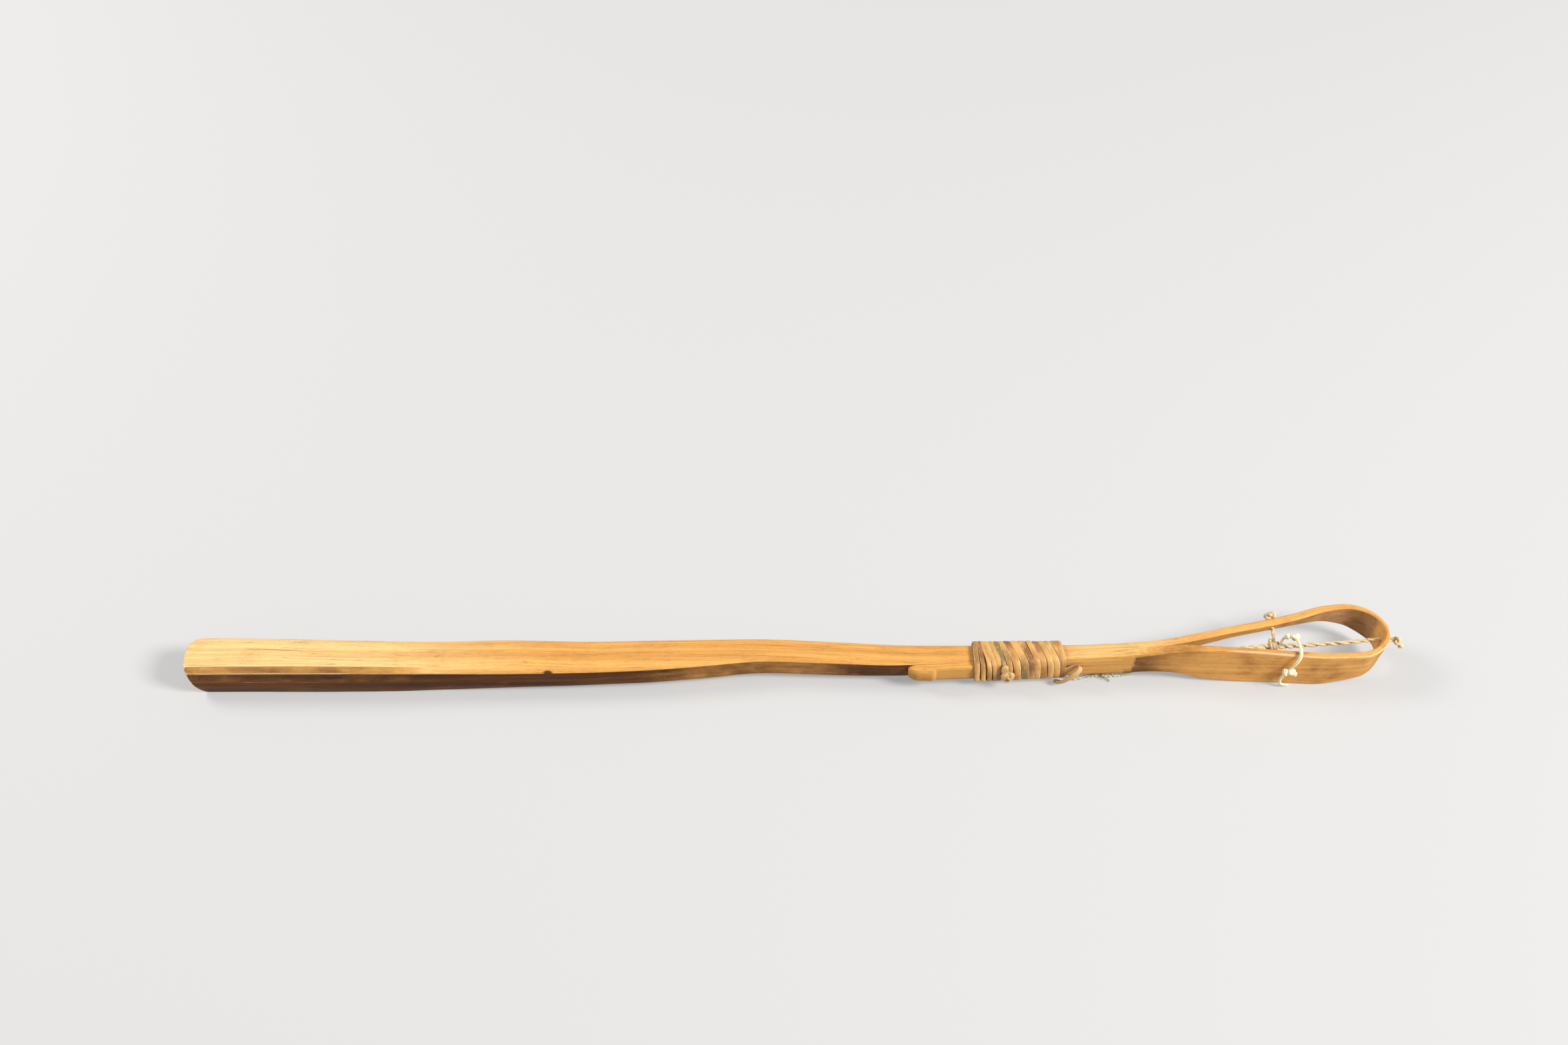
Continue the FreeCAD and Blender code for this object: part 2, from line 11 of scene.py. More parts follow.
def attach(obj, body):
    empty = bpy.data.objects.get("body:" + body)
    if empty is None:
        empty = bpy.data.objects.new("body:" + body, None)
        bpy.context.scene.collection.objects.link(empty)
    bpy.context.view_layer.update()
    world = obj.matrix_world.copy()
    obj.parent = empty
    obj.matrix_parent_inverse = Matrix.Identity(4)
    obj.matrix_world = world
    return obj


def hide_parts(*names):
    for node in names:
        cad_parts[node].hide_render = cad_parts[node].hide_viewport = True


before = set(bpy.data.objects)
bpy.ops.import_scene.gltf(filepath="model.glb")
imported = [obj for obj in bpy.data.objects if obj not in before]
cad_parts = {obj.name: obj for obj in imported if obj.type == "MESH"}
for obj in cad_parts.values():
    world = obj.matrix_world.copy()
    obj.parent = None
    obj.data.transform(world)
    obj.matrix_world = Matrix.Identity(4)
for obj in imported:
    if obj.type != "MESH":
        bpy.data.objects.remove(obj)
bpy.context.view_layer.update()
print("frame loaded")

# Where the frame's origin lies in the maker's own measures: along from the butt, and to the
# side of the shaft's line. All of the maker's measures below are in millimetres.
seat = {"along": 326.223, "side": 9.170}


def place(along, side, up):
    return Vector(((along - seat["along"]) / 1000, (side - seat["side"]) / 1000, up / 1000))


def deselectAll():
    for item in bpy.context.selected_objects:
        item.select_set(False)


def pick(item):
    # makes one object the only one selected, and active
    deselectAll()
    item.select_set(True)
    bpy.context.view_layer.objects.active = item


def applyAll(item):
    pick(item)
    for modifier in list(item.modifiers):
        bpy.ops.object.modifier_apply(modifier=modifier.name)


def between(low, high, value):
    # 0 up to low, 1 from high on, and smooth between the two
    share = min(max((value - low) / (high - low), 0), 1)
    return share * share * (3 - 2 * share)


# stage, camera and lights

studio = {
    "cameraPlace": (-0.00212, -0.7056, 0.8440),
    "cameraTilt": 43.9,
    "lens": 45.92,
    "sensor": 36.0,
    "floorSize": 7.0,
    "floorColour": (0.56, 0.55, 0.535, 1),
    "floorLift": 0.30,   # share of plain white mixed in where the floor is seen
    "skyStrength": 0.34,   # as light on the stick
    "skySeen": 0.80,   # as it is seen
    "keyPlace": (2.70, -0.95, 2.10),
    "keySize": 1.20,
    "keyPower": 146.0,
    "fillPlace": (-1.7, 0.7, 1.3),
    "fillSize": 0.9,
    "fillPower": 27.0,
}
white = (1, 1, 1, 1)


def aimedLamp(name, spot, size, power):
    bpy.ops.object.light_add(type="AREA", location=spot)
    lamp = bpy.context.object
    lamp.name = name
    lamp.data.shape = "DISK"
    lamp.data.size = size
    lamp.data.energy = power
    lamp.rotation_euler = (-Vector(spot)).to_track_quat("-Z", "Y").to_euler()


def setStage():
    deselectAll()
    scene = bpy.context.scene
    scene.view_settings.view_transform = "Standard"
    bpy.ops.object.camera_add(location=studio["cameraPlace"],
                              rotation=(math.radians(studio["cameraTilt"]), 0, 0))
    camera = bpy.context.object
    camera.name = "studioCamera"
    camera.data.lens = studio["lens"]
    camera.data.sensor_width = studio["sensor"]
    scene.camera = camera

    bpy.ops.mesh.primitive_plane_add(size=studio["floorSize"])
    floor = bpy.context.object
    floor.name = "floor"
    floor.data.materials.append(floorFinish())

    aimedLamp("keyLamp", studio["keyPlace"], studio["keySize"], studio["keyPower"])
    aimedLamp("fillLamp", studio["fillPlace"], studio["fillSize"], studio["fillPower"])
    scene.world = skyFinish()
    print("stage set")


class Wire:
    # an output of a node, so that masks are added and multiplied as they are written
    def __init__(self, finish, socket):
        self.finish = finish
        self.socket = socket

    def maths(self, operation, *values):
        return self.finish.node("ShaderNodeMath", {"operation": operation},
                                dict(enumerate(values)))

    def __add__(self, other):
        return self.maths("ADD", self, other)

    __radd__ = __add__

    def __sub__(self, other):
        return self.maths("SUBTRACT", self, other)

    def __rsub__(self, other):
        return self.maths("SUBTRACT", other, self)

    def __mul__(self, other):
        return self.maths("MULTIPLY", self, other)

    __rmul__ = __mul__

    def __abs__(self):
        return self.maths("ABSOLUTE", self)


class Finish:
    # a material's nodes, or the world's, which are held in its block
    colourSlots = {"factor": 0, "first": 6, "second": 7, "result": 2}   # of a Mix node

    def __init__(self, name, world=False, **constants):
        self.block = (bpy.data.worlds if world else bpy.data.materials).new(name)
        self.block.use_nodes = True
        self.tree = self.block.node_tree
        self.shader = self.tree.nodes["Background" if world else "Principled BSDF"]
        for socket, value in constants.items():
            self.shader.inputs[socket.replace("_", " ")].default_value = value

    def node(self, kind, settings, inputs, output=0):
        made = self.tree.nodes.new(kind)
        for setting, value in settings.items():
            if setting == "stops":
                self.setStops(made.color_ramp, value)
            else:
                setattr(made, setting, value)
        for socket, value in inputs.items():
            if isinstance(value, Wire):
                self.tree.links.new(value.socket, made.inputs[socket])
            else:
                made.inputs[socket].default_value = value
        return Wire(self, made.outputs[output])

    def setStops(self, ramp, stops):
        while len(ramp.elements) < len(stops):
            ramp.elements.new(0.5)
        for element, (spot, colour) in zip(ramp.elements, stops):
            element.position = spot
            element.color = colour

    def attribute(self, name, output="Fac"):
        return self.node("ShaderNodeAttribute", {"attribute_name": name}, {}, output)

    def stretched(self, vector, scale, shift=(0, 0, 0), turned=0):
        return self.node("ShaderNodeMapping", {}, {
            "Vector": vector, "Scale": scale, "Location": shift,
            "Rotation": (0, 0, math.radians(turned))})

    def noise(self, vector, detail=2.0, roughness=0.5, distortion=0.0):
        return self.node("ShaderNodeTexNoise", {}, {
            "Vector": vector, "Scale": 1.0, "Detail": detail, "Roughness": roughness,
            "Distortion": distortion})

    def step(self, value, low, high):
        # a mask that rises smoothly from low to high
        return self.node("ShaderNodeMapRange", {"interpolation_type": "SMOOTHSTEP"}, {
            "Value": value, "From Min": low, "From Max": high})

    def blend(self, factor, first, second, mode="MIX"):
        slots = self.colourSlots
        return self.node("ShaderNodeMix", {"data_type": "RGBA", "blend_type": mode}, {
            slots["factor"]: factor, slots["first"]: first, slots["second"]: second},
            output=slots["result"])

    def bump(self, height, distance, strength):
        return self.node("ShaderNodeBump", {}, {
            "Height": height, "Distance": distance, "Strength": strength})

    def seen(self):
        # 1 where this is looked at, mirrored or seen through glass, and 0 where it gives light
        camera, glossy, through = (
            self.node("ShaderNodeLightPath", {}, {}, output=f"Is {kind} Ray")
            for kind in ("Camera", "Glossy", "Transmission"))
        both = camera + glossy
        return both.maths("MAXIMUM", both, through)

    def feed(self, **links):
        for socket, value in links.items():
            self.tree.links.new(value.socket, self.shader.inputs[socket.replace("_", " ")])
        return self.block


def floorFinish():
    finish = Finish("paleFloor", Roughness=0.9, Base_Color=studio["floorColour"])
    glow = finish.node("ShaderNodeEmission", {}, {"Color": white, "Strength": 1.0})
    lift = finish.node("ShaderNodeMixShader", {}, {
        0: finish.seen() * studio["floorLift"],
        1: Wire(finish, finish.shader.outputs[0]), 2: glow})
    output = finish.tree.nodes["Material Output"]
    finish.tree.links.new(lift.socket, output.inputs["Surface"])
    return finish.block


def skyFinish():
    # even light all round, paler where it is seen
    finish = Finish("studioSky", world=True, Color=white)
    lift = finish.seen() * (studio["skySeen"] - studio["skyStrength"])
    return finish.feed(Strength=lift + studio["skyStrength"])


hickory = {
    # for each pattern: its stretch along and across the grain, its shift, detail, roughness
    # and distortion
    "patterns": {
        "bands": ((4, 190, 190), (0, 0, 0), 4.0, 0.6, 0.5),
        "streaks": ((16, 1250, 1250), (0, 0, 0), 5.0, 0.65, 0.2),
        "dashes": ((75, 1900, 1900), (3, 0, 0), 3.0, 0.6),
        "pores": ((260, 3800, 3800), (0, 0, 0), 2.0, 0.5),
        "blotches": ((30, 80, 80), (0, 0, 0), 4.0, 0.6),
        "grime": ((90, 300, 300), (0, 0, 0), 6.0, 0.7),
        "clouds": ((38, 60, 60), (0, 5, 0), 4.0, 0.62),
    },
    # what the wood's bands or its dirt run between
    "amber": ((0.69, 0.320, 0.078, 1), (0.85, 0.440, 0.118, 1)),
    "pale": ((0.80, 0.480, 0.175, 1), (0.93, 0.630, 0.265, 1)),
    # brown is dirt from handling, and also painted shade on the near side and other faces turned
    # from the light
    "brown": ((0.060, 0.016, 0.002, 1), (0.150, 0.052, 0.008, 1)),
    "raw": ((0.60, 0.265, 0.058, 1), (0.76, 0.400, 0.110, 1)),
    "inside": ((0.310, 0.165, 0.072, 1), (0.510, 0.300, 0.140, 1)),
    # one colour for each kind of line or mark, and one for arrises pale with wear and with a
    # painted highlight
    "lightStreak": (1, 0.80, 0.46, 1),
    "darkStreak": (0.52, 0.34, 0.20, 1),
    "dash": (0.34, 0.19, 0.10, 1),
    "pore": (0.30, 0.17, 0.09, 1),
    "grime": (0.42, 0.30, 0.20, 1),
    "smudge": (0.66, 0.40, 0.20, 1),
    # arrises pale with wear, with a painted highlight along the upper ones
    "brightening": (0.97, 0.74, 0.42, 1),
    "fresh": (0.97, 0.80, 0.50, 1),
    "crack": (0.10, 0.045, 0.018, 1),
    "knot": (0.085, 0.028, 0.010, 1),
    # stretches along the billet, in metres: where each starts, is full, fades and ends
    "fadedButt": (0.21, 0.07),
    "fadedThroat": (0.46, 0.49, 0.52, 0.55),
    "fadedTip": (0.79, 0.81, 0.84, 0.87),
    "cupHandled": (0.53, 0.58, 0.76, 0.80),
    # drying cracks: stretch along, how far aside, depth of colour
    "cracks": [((0.030, 0.036, 0.058, 0.068), -0.0088, 0.8),
               ((0.001, 0.004, 0.020, 0.030), -0.0198, 0.65)],
    "crackEdges": (0.00024, 0.00006),
    "crackWander": 0.0016,
    "knotPlace": (0.1086, -0.0226, 0.0152),
    "knotEdges": (0.0020, 0.0007),
}


def hickoryFinish():
    finish = Finish("hickory", IOR=1.48, Specular_IOR_Level=0.22)
    grain = finish.attribute("grain", "Vector")
    shade, dull, scraped, arris = (finish.attribute(name)
                                   for name in ("shade", "dull", "scraped", "arris"))
    along, aside, high = (finish.node("ShaderNodeSeparateXYZ", {}, {0: grain}, output=part)
                          for part in range(3))
    bands, streaks, dashes, pores, blotches, grime, clouds = (
        finish.noise(finish.stretched(grain, scale, shift), *settings)
        for scale, shift, *settings in hickory["patterns"].values())

    def stretch(name):
        starts, full, fades, ends = hickory[name]
        return finish.step(along, starts, full) * finish.step(along, ends, fades)

    # pale where the sun has faded it; brown where hands have been, and brown as painted shade on
    # faces turned from the light
    amber, pale, brown, raw = (
        finish.blend(finish.step(bands, low, full), *hickory[name]) for name, low, full in (
            ("amber", 0.34, 0.66), ("pale", 0.34, 0.66), ("brown", 0.32, 0.70),
            ("raw", 0.30, 0.70)))
    inside = finish.blend(finish.step(grime, 0.35, 0.65), *hickory["inside"])
    faded = (finish.step(along, *hickory["fadedButt"]) + stretch("fadedThroat") * 0.7
             + stretch("fadedTip") * 0.5)
    honey = finish.blend(faded * finish.step(shade, 0.20, 0.13), amber, pale)
    # how far each face goes over to brown, from the shade attribute: handling dirt and painted
    # shade
    wornAndShaded = finish.step(shade + (clouds - 0.5) * 0.9 + (grime - 0.5) * 0.25, 0.08, 0.92)
    wood = finish.blend(wornAndShaded, honey, brown)
    wood = finish.blend(dull, wood, inside)
    # the scraped face's raw colour fades out toward its bottom edge: painted shade for its
    # rounding under
    wood = finish.blend(scraped * finish.step(high, 0.0040, 0.0095), wood, raw)

    # the grain's lines and the dirt in them, fainter where the wood is dark or handled
    handled = stretch("cupHandled")
    marks = (1 - shade * 0.75 - dull * 0.35) * (1 - handled * 0.5)
    wood = finish.blend(finish.step(streaks, 0.50, 0.30) * 0.34 * marks, wood,
                        hickory["lightStreak"], "OVERLAY")
    smudges = finish.step(clouds + (grime - 0.5) * 0.4, 0.50, 0.72) * handled
    for layer, name in ((finish.step(streaks, 0.50, 0.72) * 0.60 * marks, "darkStreak"),
                        (finish.step(dashes, 0.60, 0.73) * 0.60, "dash"),
                        (finish.step(pores, 0.62, 0.72) * 0.45, "pore"),
                        (finish.step(grime, 0.56, 0.78) * 0.50, "grime"),
                        (smudges * 0.5, "smudge")):
        wood = finish.blend(layer, wood, hickory[name], "MULTIPLY")

    # arrises pale with wear and brighter as a painted highlight, and fresh wood at the scraped
    # face's edge
    brightening = finish.step(arris + (clouds - 0.5) * 0.5, 0.80, 0.98) * finish.step(grime, 0.3, 0.5)
    wood = finish.blend(brightening * 0.60, wood, hickory["brightening"])
    fresh = finish.step(scraped, 0.02, 0.15) * finish.step(scraped, 0.85, 0.45)
    fresh = fresh * finish.step(along, 0.885, 0.875) * finish.step(aside, -0.0011, -0.0007)
    wood = finish.blend(fresh * 0.8, wood, hickory["fresh"])
    wood = crackedWood(finish, wood, grain, (along, aside, high), blotches, grime)

    relief = streaks * -0.55 + dashes * -0.45 + blotches * 1.2 + scraped * streaks * -1.4
    normal = finish.bump(relief, 0.0007, 0.6)
    roughness = (0.36 + scraped * 0.26 + streaks * 0.18 + grime * 0.16) - shade * 0.06
    return finish.feed(Base_Color=wood, Roughness=roughness, Normal=normal)


def crackedWood(finish, wood, grain, spot, blotches, grime):
    # two drying cracks on the handle's top, and a pin knot on its near ridge
    along, aside, high = spot
    wander = (blotches - 0.5) * hickory["crackWander"]
    for (starts, full, fades, ends), line, depth in hickory["cracks"]:
        crack = finish.step(abs(aside - line + wander), *hickory["crackEdges"]) * depth
        crack = crack * finish.step(along, starts, full) * finish.step(along, ends, fades)
        wood = finish.blend(crack * finish.step(high, 0.012, 0.014), wood, hickory["crack"])
    away = finish.node("ShaderNodeVectorMath", {"operation": "DISTANCE"}, {
        0: finish.stretched(grain, (0.55, 1, 1)), 1: hickory["knotPlace"]}, output="Value")
    pin = finish.step(away + (grime - 0.5) * 0.0014, *hickory["knotEdges"])
    return finish.blend(pin, wood, hickory["knot"])


rawhide = {
    # the hide's own tones, from one turn of the strap to another
    "tones": [(0.36, (0.245, 0.158, 0.046, 1)), (0.43, (0.450, 0.215, 0.052, 1)),
              (0.49, (0.76, 0.420, 0.118, 1)), (0.545, (0.520, 0.220, 0.050, 1)),
              (0.61, (0.280, 0.105, 0.028, 1))],
    "bleached": (0.72, 0.47, 0.21, 1),
    "scuffed": (0.80, 0.53, 0.22, 1),
    "stained": (0.140, 0.092, 0.028, 1),
    # darker in the hide's creases: painted shade
    "creaseShade": (0.10, 0.05, 0.018, 1),
    # one rim of each turn pale, a painted highlight on its cut edge, and both rims dark, painted
    # shade in the gaps between turns
    "rimHighlight": (0.78, 0.60, 0.32, 1),
    "rimShade": (0.040, 0.023, 0.010, 1),
}


def rawhideFinish(name, bleaching):
    finish = Finish(name, IOR=1.5, Subsurface_Weight=0.05, Subsurface_Scale=0.002)
    run = finish.attribute("run", "Vector")
    edge = finish.attribute("edge")
    tone = finish.noise(finish.stretched(run, (21, 30, 1)), 2.0, 0.5)
    hide = finish.noise(finish.stretched(run, (260, 700, 1)), 5.0, 0.65)
    creases = finish.noise(finish.stretched(run, (60, 2200, 1)), 3.0, 0.6)
    colour = finish.node("ShaderNodeValToRGB", {"stops": rawhide["tones"]}, {0: tone})
    # one rim of each turn pale, a painted highlight where the light catches its cut edge; both
    # rims dark, painted shade between the turns
    rimHighlight = finish.step(edge, 0.66, 0.76) * finish.step(edge, 0.93, 0.86)
    # the hide's creases darker as painted shade
    for layer, shade in ((bleaching, "bleached"),
                         (finish.step(hide, 0.48, 0.74) * 0.45, "scuffed"),
                         (finish.step(hide, 0.46, 0.28) * 0.40, "stained"),
                         (finish.step(creases, 0.58, 0.72) * 0.35, "creaseShade"),
                         (rimHighlight * finish.step(hide, 0.35, 0.6) * 0.7, "rimHighlight"),
                         (finish.step(abs(edge), 0.92, 0.985), "rimShade")):
        colour = finish.blend(layer, colour, rawhide[shade])
    normal = finish.bump(hide * 0.9 + creases * -0.5, 0.0005, 0.7)
    return finish.feed(Base_Color=colour, Roughness=0.26 + hide * 0.3, Normal=normal)


yarns = {
    # pale and dark colour, degrees that the fibres lie turned, fuzz, soiling
    "twistedCord": ((0.96, 0.77, 0.47, 1), (0.55, 0.36, 0.16, 1), 28, 0.65, 0.35),
    "lace": ((0.97, 0.85, 0.57, 1), (0.74, 0.58, 0.32, 1), 8, 0.2, 0.35),
    "twine": ((0.80, 0.74, 0.52, 1), (0.40, 0.37, 0.22, 1), 24, 0.7, 0.4),
}


def cordFinish(name):
    # yarn whose fibres run round each strand
    pale, dark, turned, fuzz, soiling = yarns[name]
    finish = Finish(name, Specular_IOR_Level=0.3, Roughness=0.85)
    run = finish.attribute("run", "Vector")
    fibres = finish.noise(finish.stretched(run, (600, 3200, 1), turned=turned), 3.0, 0.6)
    soil = finish.noise(finish.stretched(run, (110, 300, 1)), 4.0, 0.6)
    tufts = finish.noise(finish.stretched(run, (900, 900, 1)), 4.0, 0.7)
    colour = finish.blend(finish.step(fibres, 0.62, 0.36) * fuzz, pale, dark)
    colour = finish.blend(finish.step(soil, 0.5, 0.75) * soiling, colour, dark)
    normal = finish.bump(fibres * fuzz + soil * 0.5 + tufts * fuzz * 1.2, 0.0007, 0.9)
    return finish.feed(Base_Color=colour, Normal=normal)


def smoothValue(places, values, where):
    # one number on a smooth line through rows of places and values
    last = len(places) - 1
    spot = min(max(bisect.bisect_right(places, where) - 1, 0), last - 1)
    span = places[spot + 1] - places[spot]
    share = (where - places[spot]) / span
    start, end = values[spot], values[spot + 1]
    slopes = []
    for row in (spot, spot + 1):
        before, after = max(row - 1, 0), min(row + 1, last)
        slopes.append((values[after] - values[before]) / (places[after] - places[before]))
    squared, cubed = share ** 2, share ** 3
    return (start * (2 * cubed - 3 * squared + 1) + end * (3 * squared - 2 * cubed)
            + span * (slopes[0] * (cubed - 2 * squared + share)
                      + slopes[1] * (cubed - squared)))


# the billet's section at one place, in millimetres, and degrees for its heading and lean:
# where it is, its outer face's side, its top, its thickness and height, and how far its
# bevels go across and down
Section = namedtuple("Section", "along side top thick tall across down heading lean")

billet = {
    # along, side, top, thick, tall, across, down
    "shaft": [
        (0.0, 12.4, 17.7, 25.4, 18.2, 4.5, 1.3), (42.0, 12.0, 18.1, 24.9, 18.6, 4.5, 1.3),
        (93.0, 10.5, 18.1, 23.3, 18.6, 4.2, 1.3), (136.0, 10.9, 16.9, 22.9, 16.2, 3.8, 1.3),
        (175.0, 12.3, 16.4, 24.0, 14.2, 3.2, 1.3), (218.0, 11.6, 16.0, 22.1, 13.0, 2.6, 1.2),
        (251.0, 12.3, 15.9, 21.1, 12.6, 2.2, 1.1), (280.0, 13.0, 15.8, 18.9, 12.6, 2.0, 1.1),
        (312.0, 13.5, 15.7, 16.0, 12.0, 1.9, 1.0), (350.0, 11.8, 15.3, 15.4, 11.9, 1.8, 1.0),
        (384.0, 10.0, 14.8, 14.6, 10.6, 1.8, 1.0), (406.0, 9.4, 14.8, 13.1, 10.1, 1.7, 1.0),
        (428.0, 9.1, 15.2, 11.0, 10.4, 1.6, 1.0), (452.0, 8.5, 16.2, 8.7, 11.6, 1.5, 1.0),
        (476.0, 7.8, 17.1, 6.6, 12.6, 1.4, 1.0), (497.0, 8.3, 17.5, 6.1, 12.7, 1.3, 0.9),
        (516.0, 9.0, 18.4, 5.6, 12.4, 1.2, 0.9)],
    "arm": [
        (532.0, 10.2, 19.8, 5.0, 9.8, 1.0, 0.9), (548.0, 12.4, 21.4, 4.8, 6.4, 0.8, 0.8),
        (566.0, 15.9, 23.0, 4.8, 5.0, 0.7, 0.7), (586.0, 19.8, 23.8, 4.8, 4.7, 0.7, 0.7),
        (604.0, 24.9, 24.0, 4.7, 5.6, 0.7, 0.7), (617.5, 29.5, 24.0, 4.4, 8.4, 0.7, 0.7)],
    # degrees round the tip, top, thick, tall, lean
    "tip": [
        (0.0, 23.8, 3.9, 13.4, 2.0), (30.0, 23.5, 3.3, 16.8, 6.0), (58.0, 23.2, 3.0, 17.2, 10.0),
        (85.0, 23.0, 3.0, 16.6, 12.0), (112.0, 22.8, 3.0, 16.6, 12.0),
        (138.0, 22.6, 3.2, 17.2, 9.0), (162.0, 22.4, 3.6, 19.4, 5.0)],
    "wall": [
        (615.0, -6.3, 23.0, 3.7, 23.2, 0.8, 1.0), (599.0, -5.8, 24.1, 3.5, 24.5, 1.0, 1.3),
        (582.0, -5.0, 25.5, 3.2, 25.9, 1.1, 1.5), (566.0, -4.4, 26.3, 3.2, 26.6, 1.1, 1.5),
        (550.0, -3.9, 26.0, 4.0, 24.4, 1.0, 1.3), (536.0, -2.8, 23.9, 5.3, 19.0, 0.9, 1.1),
        (523.0, -2.3, 20.5, 5.7, 15.3, 0.9, 0.9)],
    "limb": [
        (509.0, -2.6, 17.9, 5.4, 13.2, 0.9, 0.9), (493.5, -3.4, 17.4, 5.4, 13.0, 0.9, 0.9),
        (474.5, -4.4, 17.0, 5.5, 12.6, 0.9, 0.9), (451.5, -6.1, 15.9, 5.7, 11.2, 0.9, 0.9),
        (428.0, -7.9, 15.0, 5.8, 9.1, 0.9, 1.1), (408.0, -9.0, 14.5, 5.6, 8.3, 0.9, 1.3),
        (391.0, -8.5, 14.1, 4.8, 7.8, 1.0, 1.3)],
    "cupCentre": (631.0, 12.7),
    "cupReach": 21.6,
    "cupHalfWidth": 19.0,
    "tipBevel": 0.7,
    "tipStep": 9,   # degrees from one of its sections to the next
    # headings past which the billet is the thin band, the tip's bend and the limb
    "thinHeads": -20, "bandHeads": -30, "tipHeads": -60, "limbHeads": -150,
    # gaps between stations, and the stretches where they are closer
    "gaps": {"shaft": 8.0, "butt": 1.7, "arm": 4.5, "band": 3.6, "step": 1.0, "knob": 1.2},
    "closeTo": 12, "armFrom": 516, "stepSpan": (505, 519), "knobTo": 409,
    "facesAcross": 5, "facesDown": 6, "facesOnBevel": 2,
    # how far along the handle's end lies, first by side and then by height
    "buttPlan": [(-14.0, 4.7), (-12.9, 3.9), (-10.2, 2.2), (-6.2, 1.4), (-0.5, 0.9),
                 (3.5, 1.2), (8.6, 2.4), (11.0, 4.2), (12.4, 6.4)],
    "buttDrop": [(0.0, 8.4), (3.0, 5.4), (7.0, 2.6), (10.3, 1.1), (15.0, 0.2), (19.0, 0.0)],
    "buttReach": 15.0,
    # the ridge down the handle's near side, and where it fades out
    "sideArris": 0.75, "sideArrisFades": (135, 85),
    # where limb and shaft lie close: it opens, closes, parts and is apart again; how far they
    # draw in there, and how much of their bevels is lost
    "seam": (376.0, 396.0, 519.0, 527.0), "seamDrawsIn": 0.4, "seamFills": 0.85,
    # size and depth of the carver's broad and fine marks, and how much of them the band has
    "broadMarks": ((0.035, 0.16, 0.16), 0.24), "fineMarks": ((0.11, 0.4, 0.4), 0.09),
    "bandMarks": 0.55,
    "levels": 2,
}

knob = {
    # where it rises and sinks along the limb, and how far it stands out
    "rises": (390.2, 396.3), "sinks": (406.4, 403.8), "stands": 1.5, "shapedTo": 407,
    # the limb's rounded end: where it starts, its length, how far in it turns, and its height's
    # share at the very end
    "endFrom": 390.4, "endLong": 4.6, "endTurns": 2.0, "endTall": 0.22,
}

scraping = {
    # along, the scraped face's side, the limb's top, and how round their corner is
    "floor": [
        (404.5, -8.6, 14.4, 1.2), (428.0, -6.9, 15.0, 1.8), (436.0, -6.4, 15.2, 3.2),
        (451.5, -5.2, 15.9, 3.4), (474.5, -3.8, 17.0, 3.4), (493.5, -3.05, 17.4, 3.0),
        (509.0, -2.4, 17.9, 1.8), (520.0, -2.15, 18.8, 1.2)],
    "starts": (404.6, 406.4),
    # where its jagged step is, at the top and 13 mm below, and how steep that is
    "stepTop": 513.8, "stepBottom": 511.8, "stepTall": 13.0, "stepLong": 0.35,
    "stepWanders": 0.5, "stepJags": 1.6, "jagsFade": (17, 13),
    # depths under the limb's outer face: as deep as it cuts, and where its raw colour fades in
    "skinFrom": -2.9, "skinFades": (-1.7, -0.8),
    "limbTo": 521,
}


def billetRows():
    # every section that the billet's rows give, from the butt round the cup to the limb's end
    centreAlong, centreSide = billet["cupCentre"]
    reach, half, bevel = billet["cupReach"], billet["cupHalfWidth"], billet["tipBevel"]

    def headed(given, before, after):
        # the given rows, each heading from the one before it to the one after it
        places = [before, *given, after]
        for row, last, following in zip(given, places, places[2:]):
            angle = math.degrees(math.atan2(following[1] - last[1], following[0] - last[0]))
            yield Section(*row, angle - 360 if angle > 90 else angle, 0.0)

    rows = [Section(*row, 0.0, 0.0) for row in billet["shaft"]]
    rows += headed(billet["arm"], billet["shaft"][-1], (centreAlong, centreSide + half))
    turns, *columns = zip(*billet["tip"])
    for turn in range(0, int(turns[-1]) + 1, billet["tipStep"]):
        angle = math.radians(turn)
        top, thick, tall, lean = (smoothValue(turns, column, turn) for column in columns)
        heading = math.degrees(math.atan2(-half * math.sin(angle), reach * math.cos(angle)))
        rows.append(Section(centreAlong + reach * math.sin(angle),
                            centreSide + half * math.cos(angle),
                            top, thick, tall, bevel, bevel, heading, lean))
    rows += headed(billet["wall"], (centreAlong, centreSide - half), billet["limb"][0])
    rows += [Section(*row, -180.0, 0.0) for row in billet["limb"]]
    return rows


def stationGap(where, section):
    # stations are closer where the shape turns quickly
    gaps = billet["gaps"]
    if section.heading < billet["limbHeads"]:
        low, high = billet["stepSpan"]
        if low < section.along < high:
            return gaps["step"]
        if section.along < billet["knobTo"]:
            return gaps["knob"]
    if where < billet["closeTo"]:
        return gaps["butt"]
    if section.heading < billet["bandHeads"]:
        return gaps["band"]
    return gaps["arm"] if where > billet["armFrom"] else gaps["shaft"]


def billetStations():
    # the section at close stations, each with the distance to it along the billet
    rows = billetRows()
    distances = [0.0]
    for before, after in zip(rows, rows[1:]):
        distances.append(distances[-1] + math.dist(before[:2], after[:2]))
    columns = list(zip(*rows))
    stations = []
    where = 0.0
    while where < distances[-1]:
        section = Section(*(smoothValue(distances, column, where) for column in columns))
        stations.append((where, section))
        where += stationGap(where, section)
    stations.append((distances[-1], rows[-1]))
    return stations


faceNames = ("top", "topInner", "inner", "lowInner", "under", "lowOuter", "outer", "topOuter")


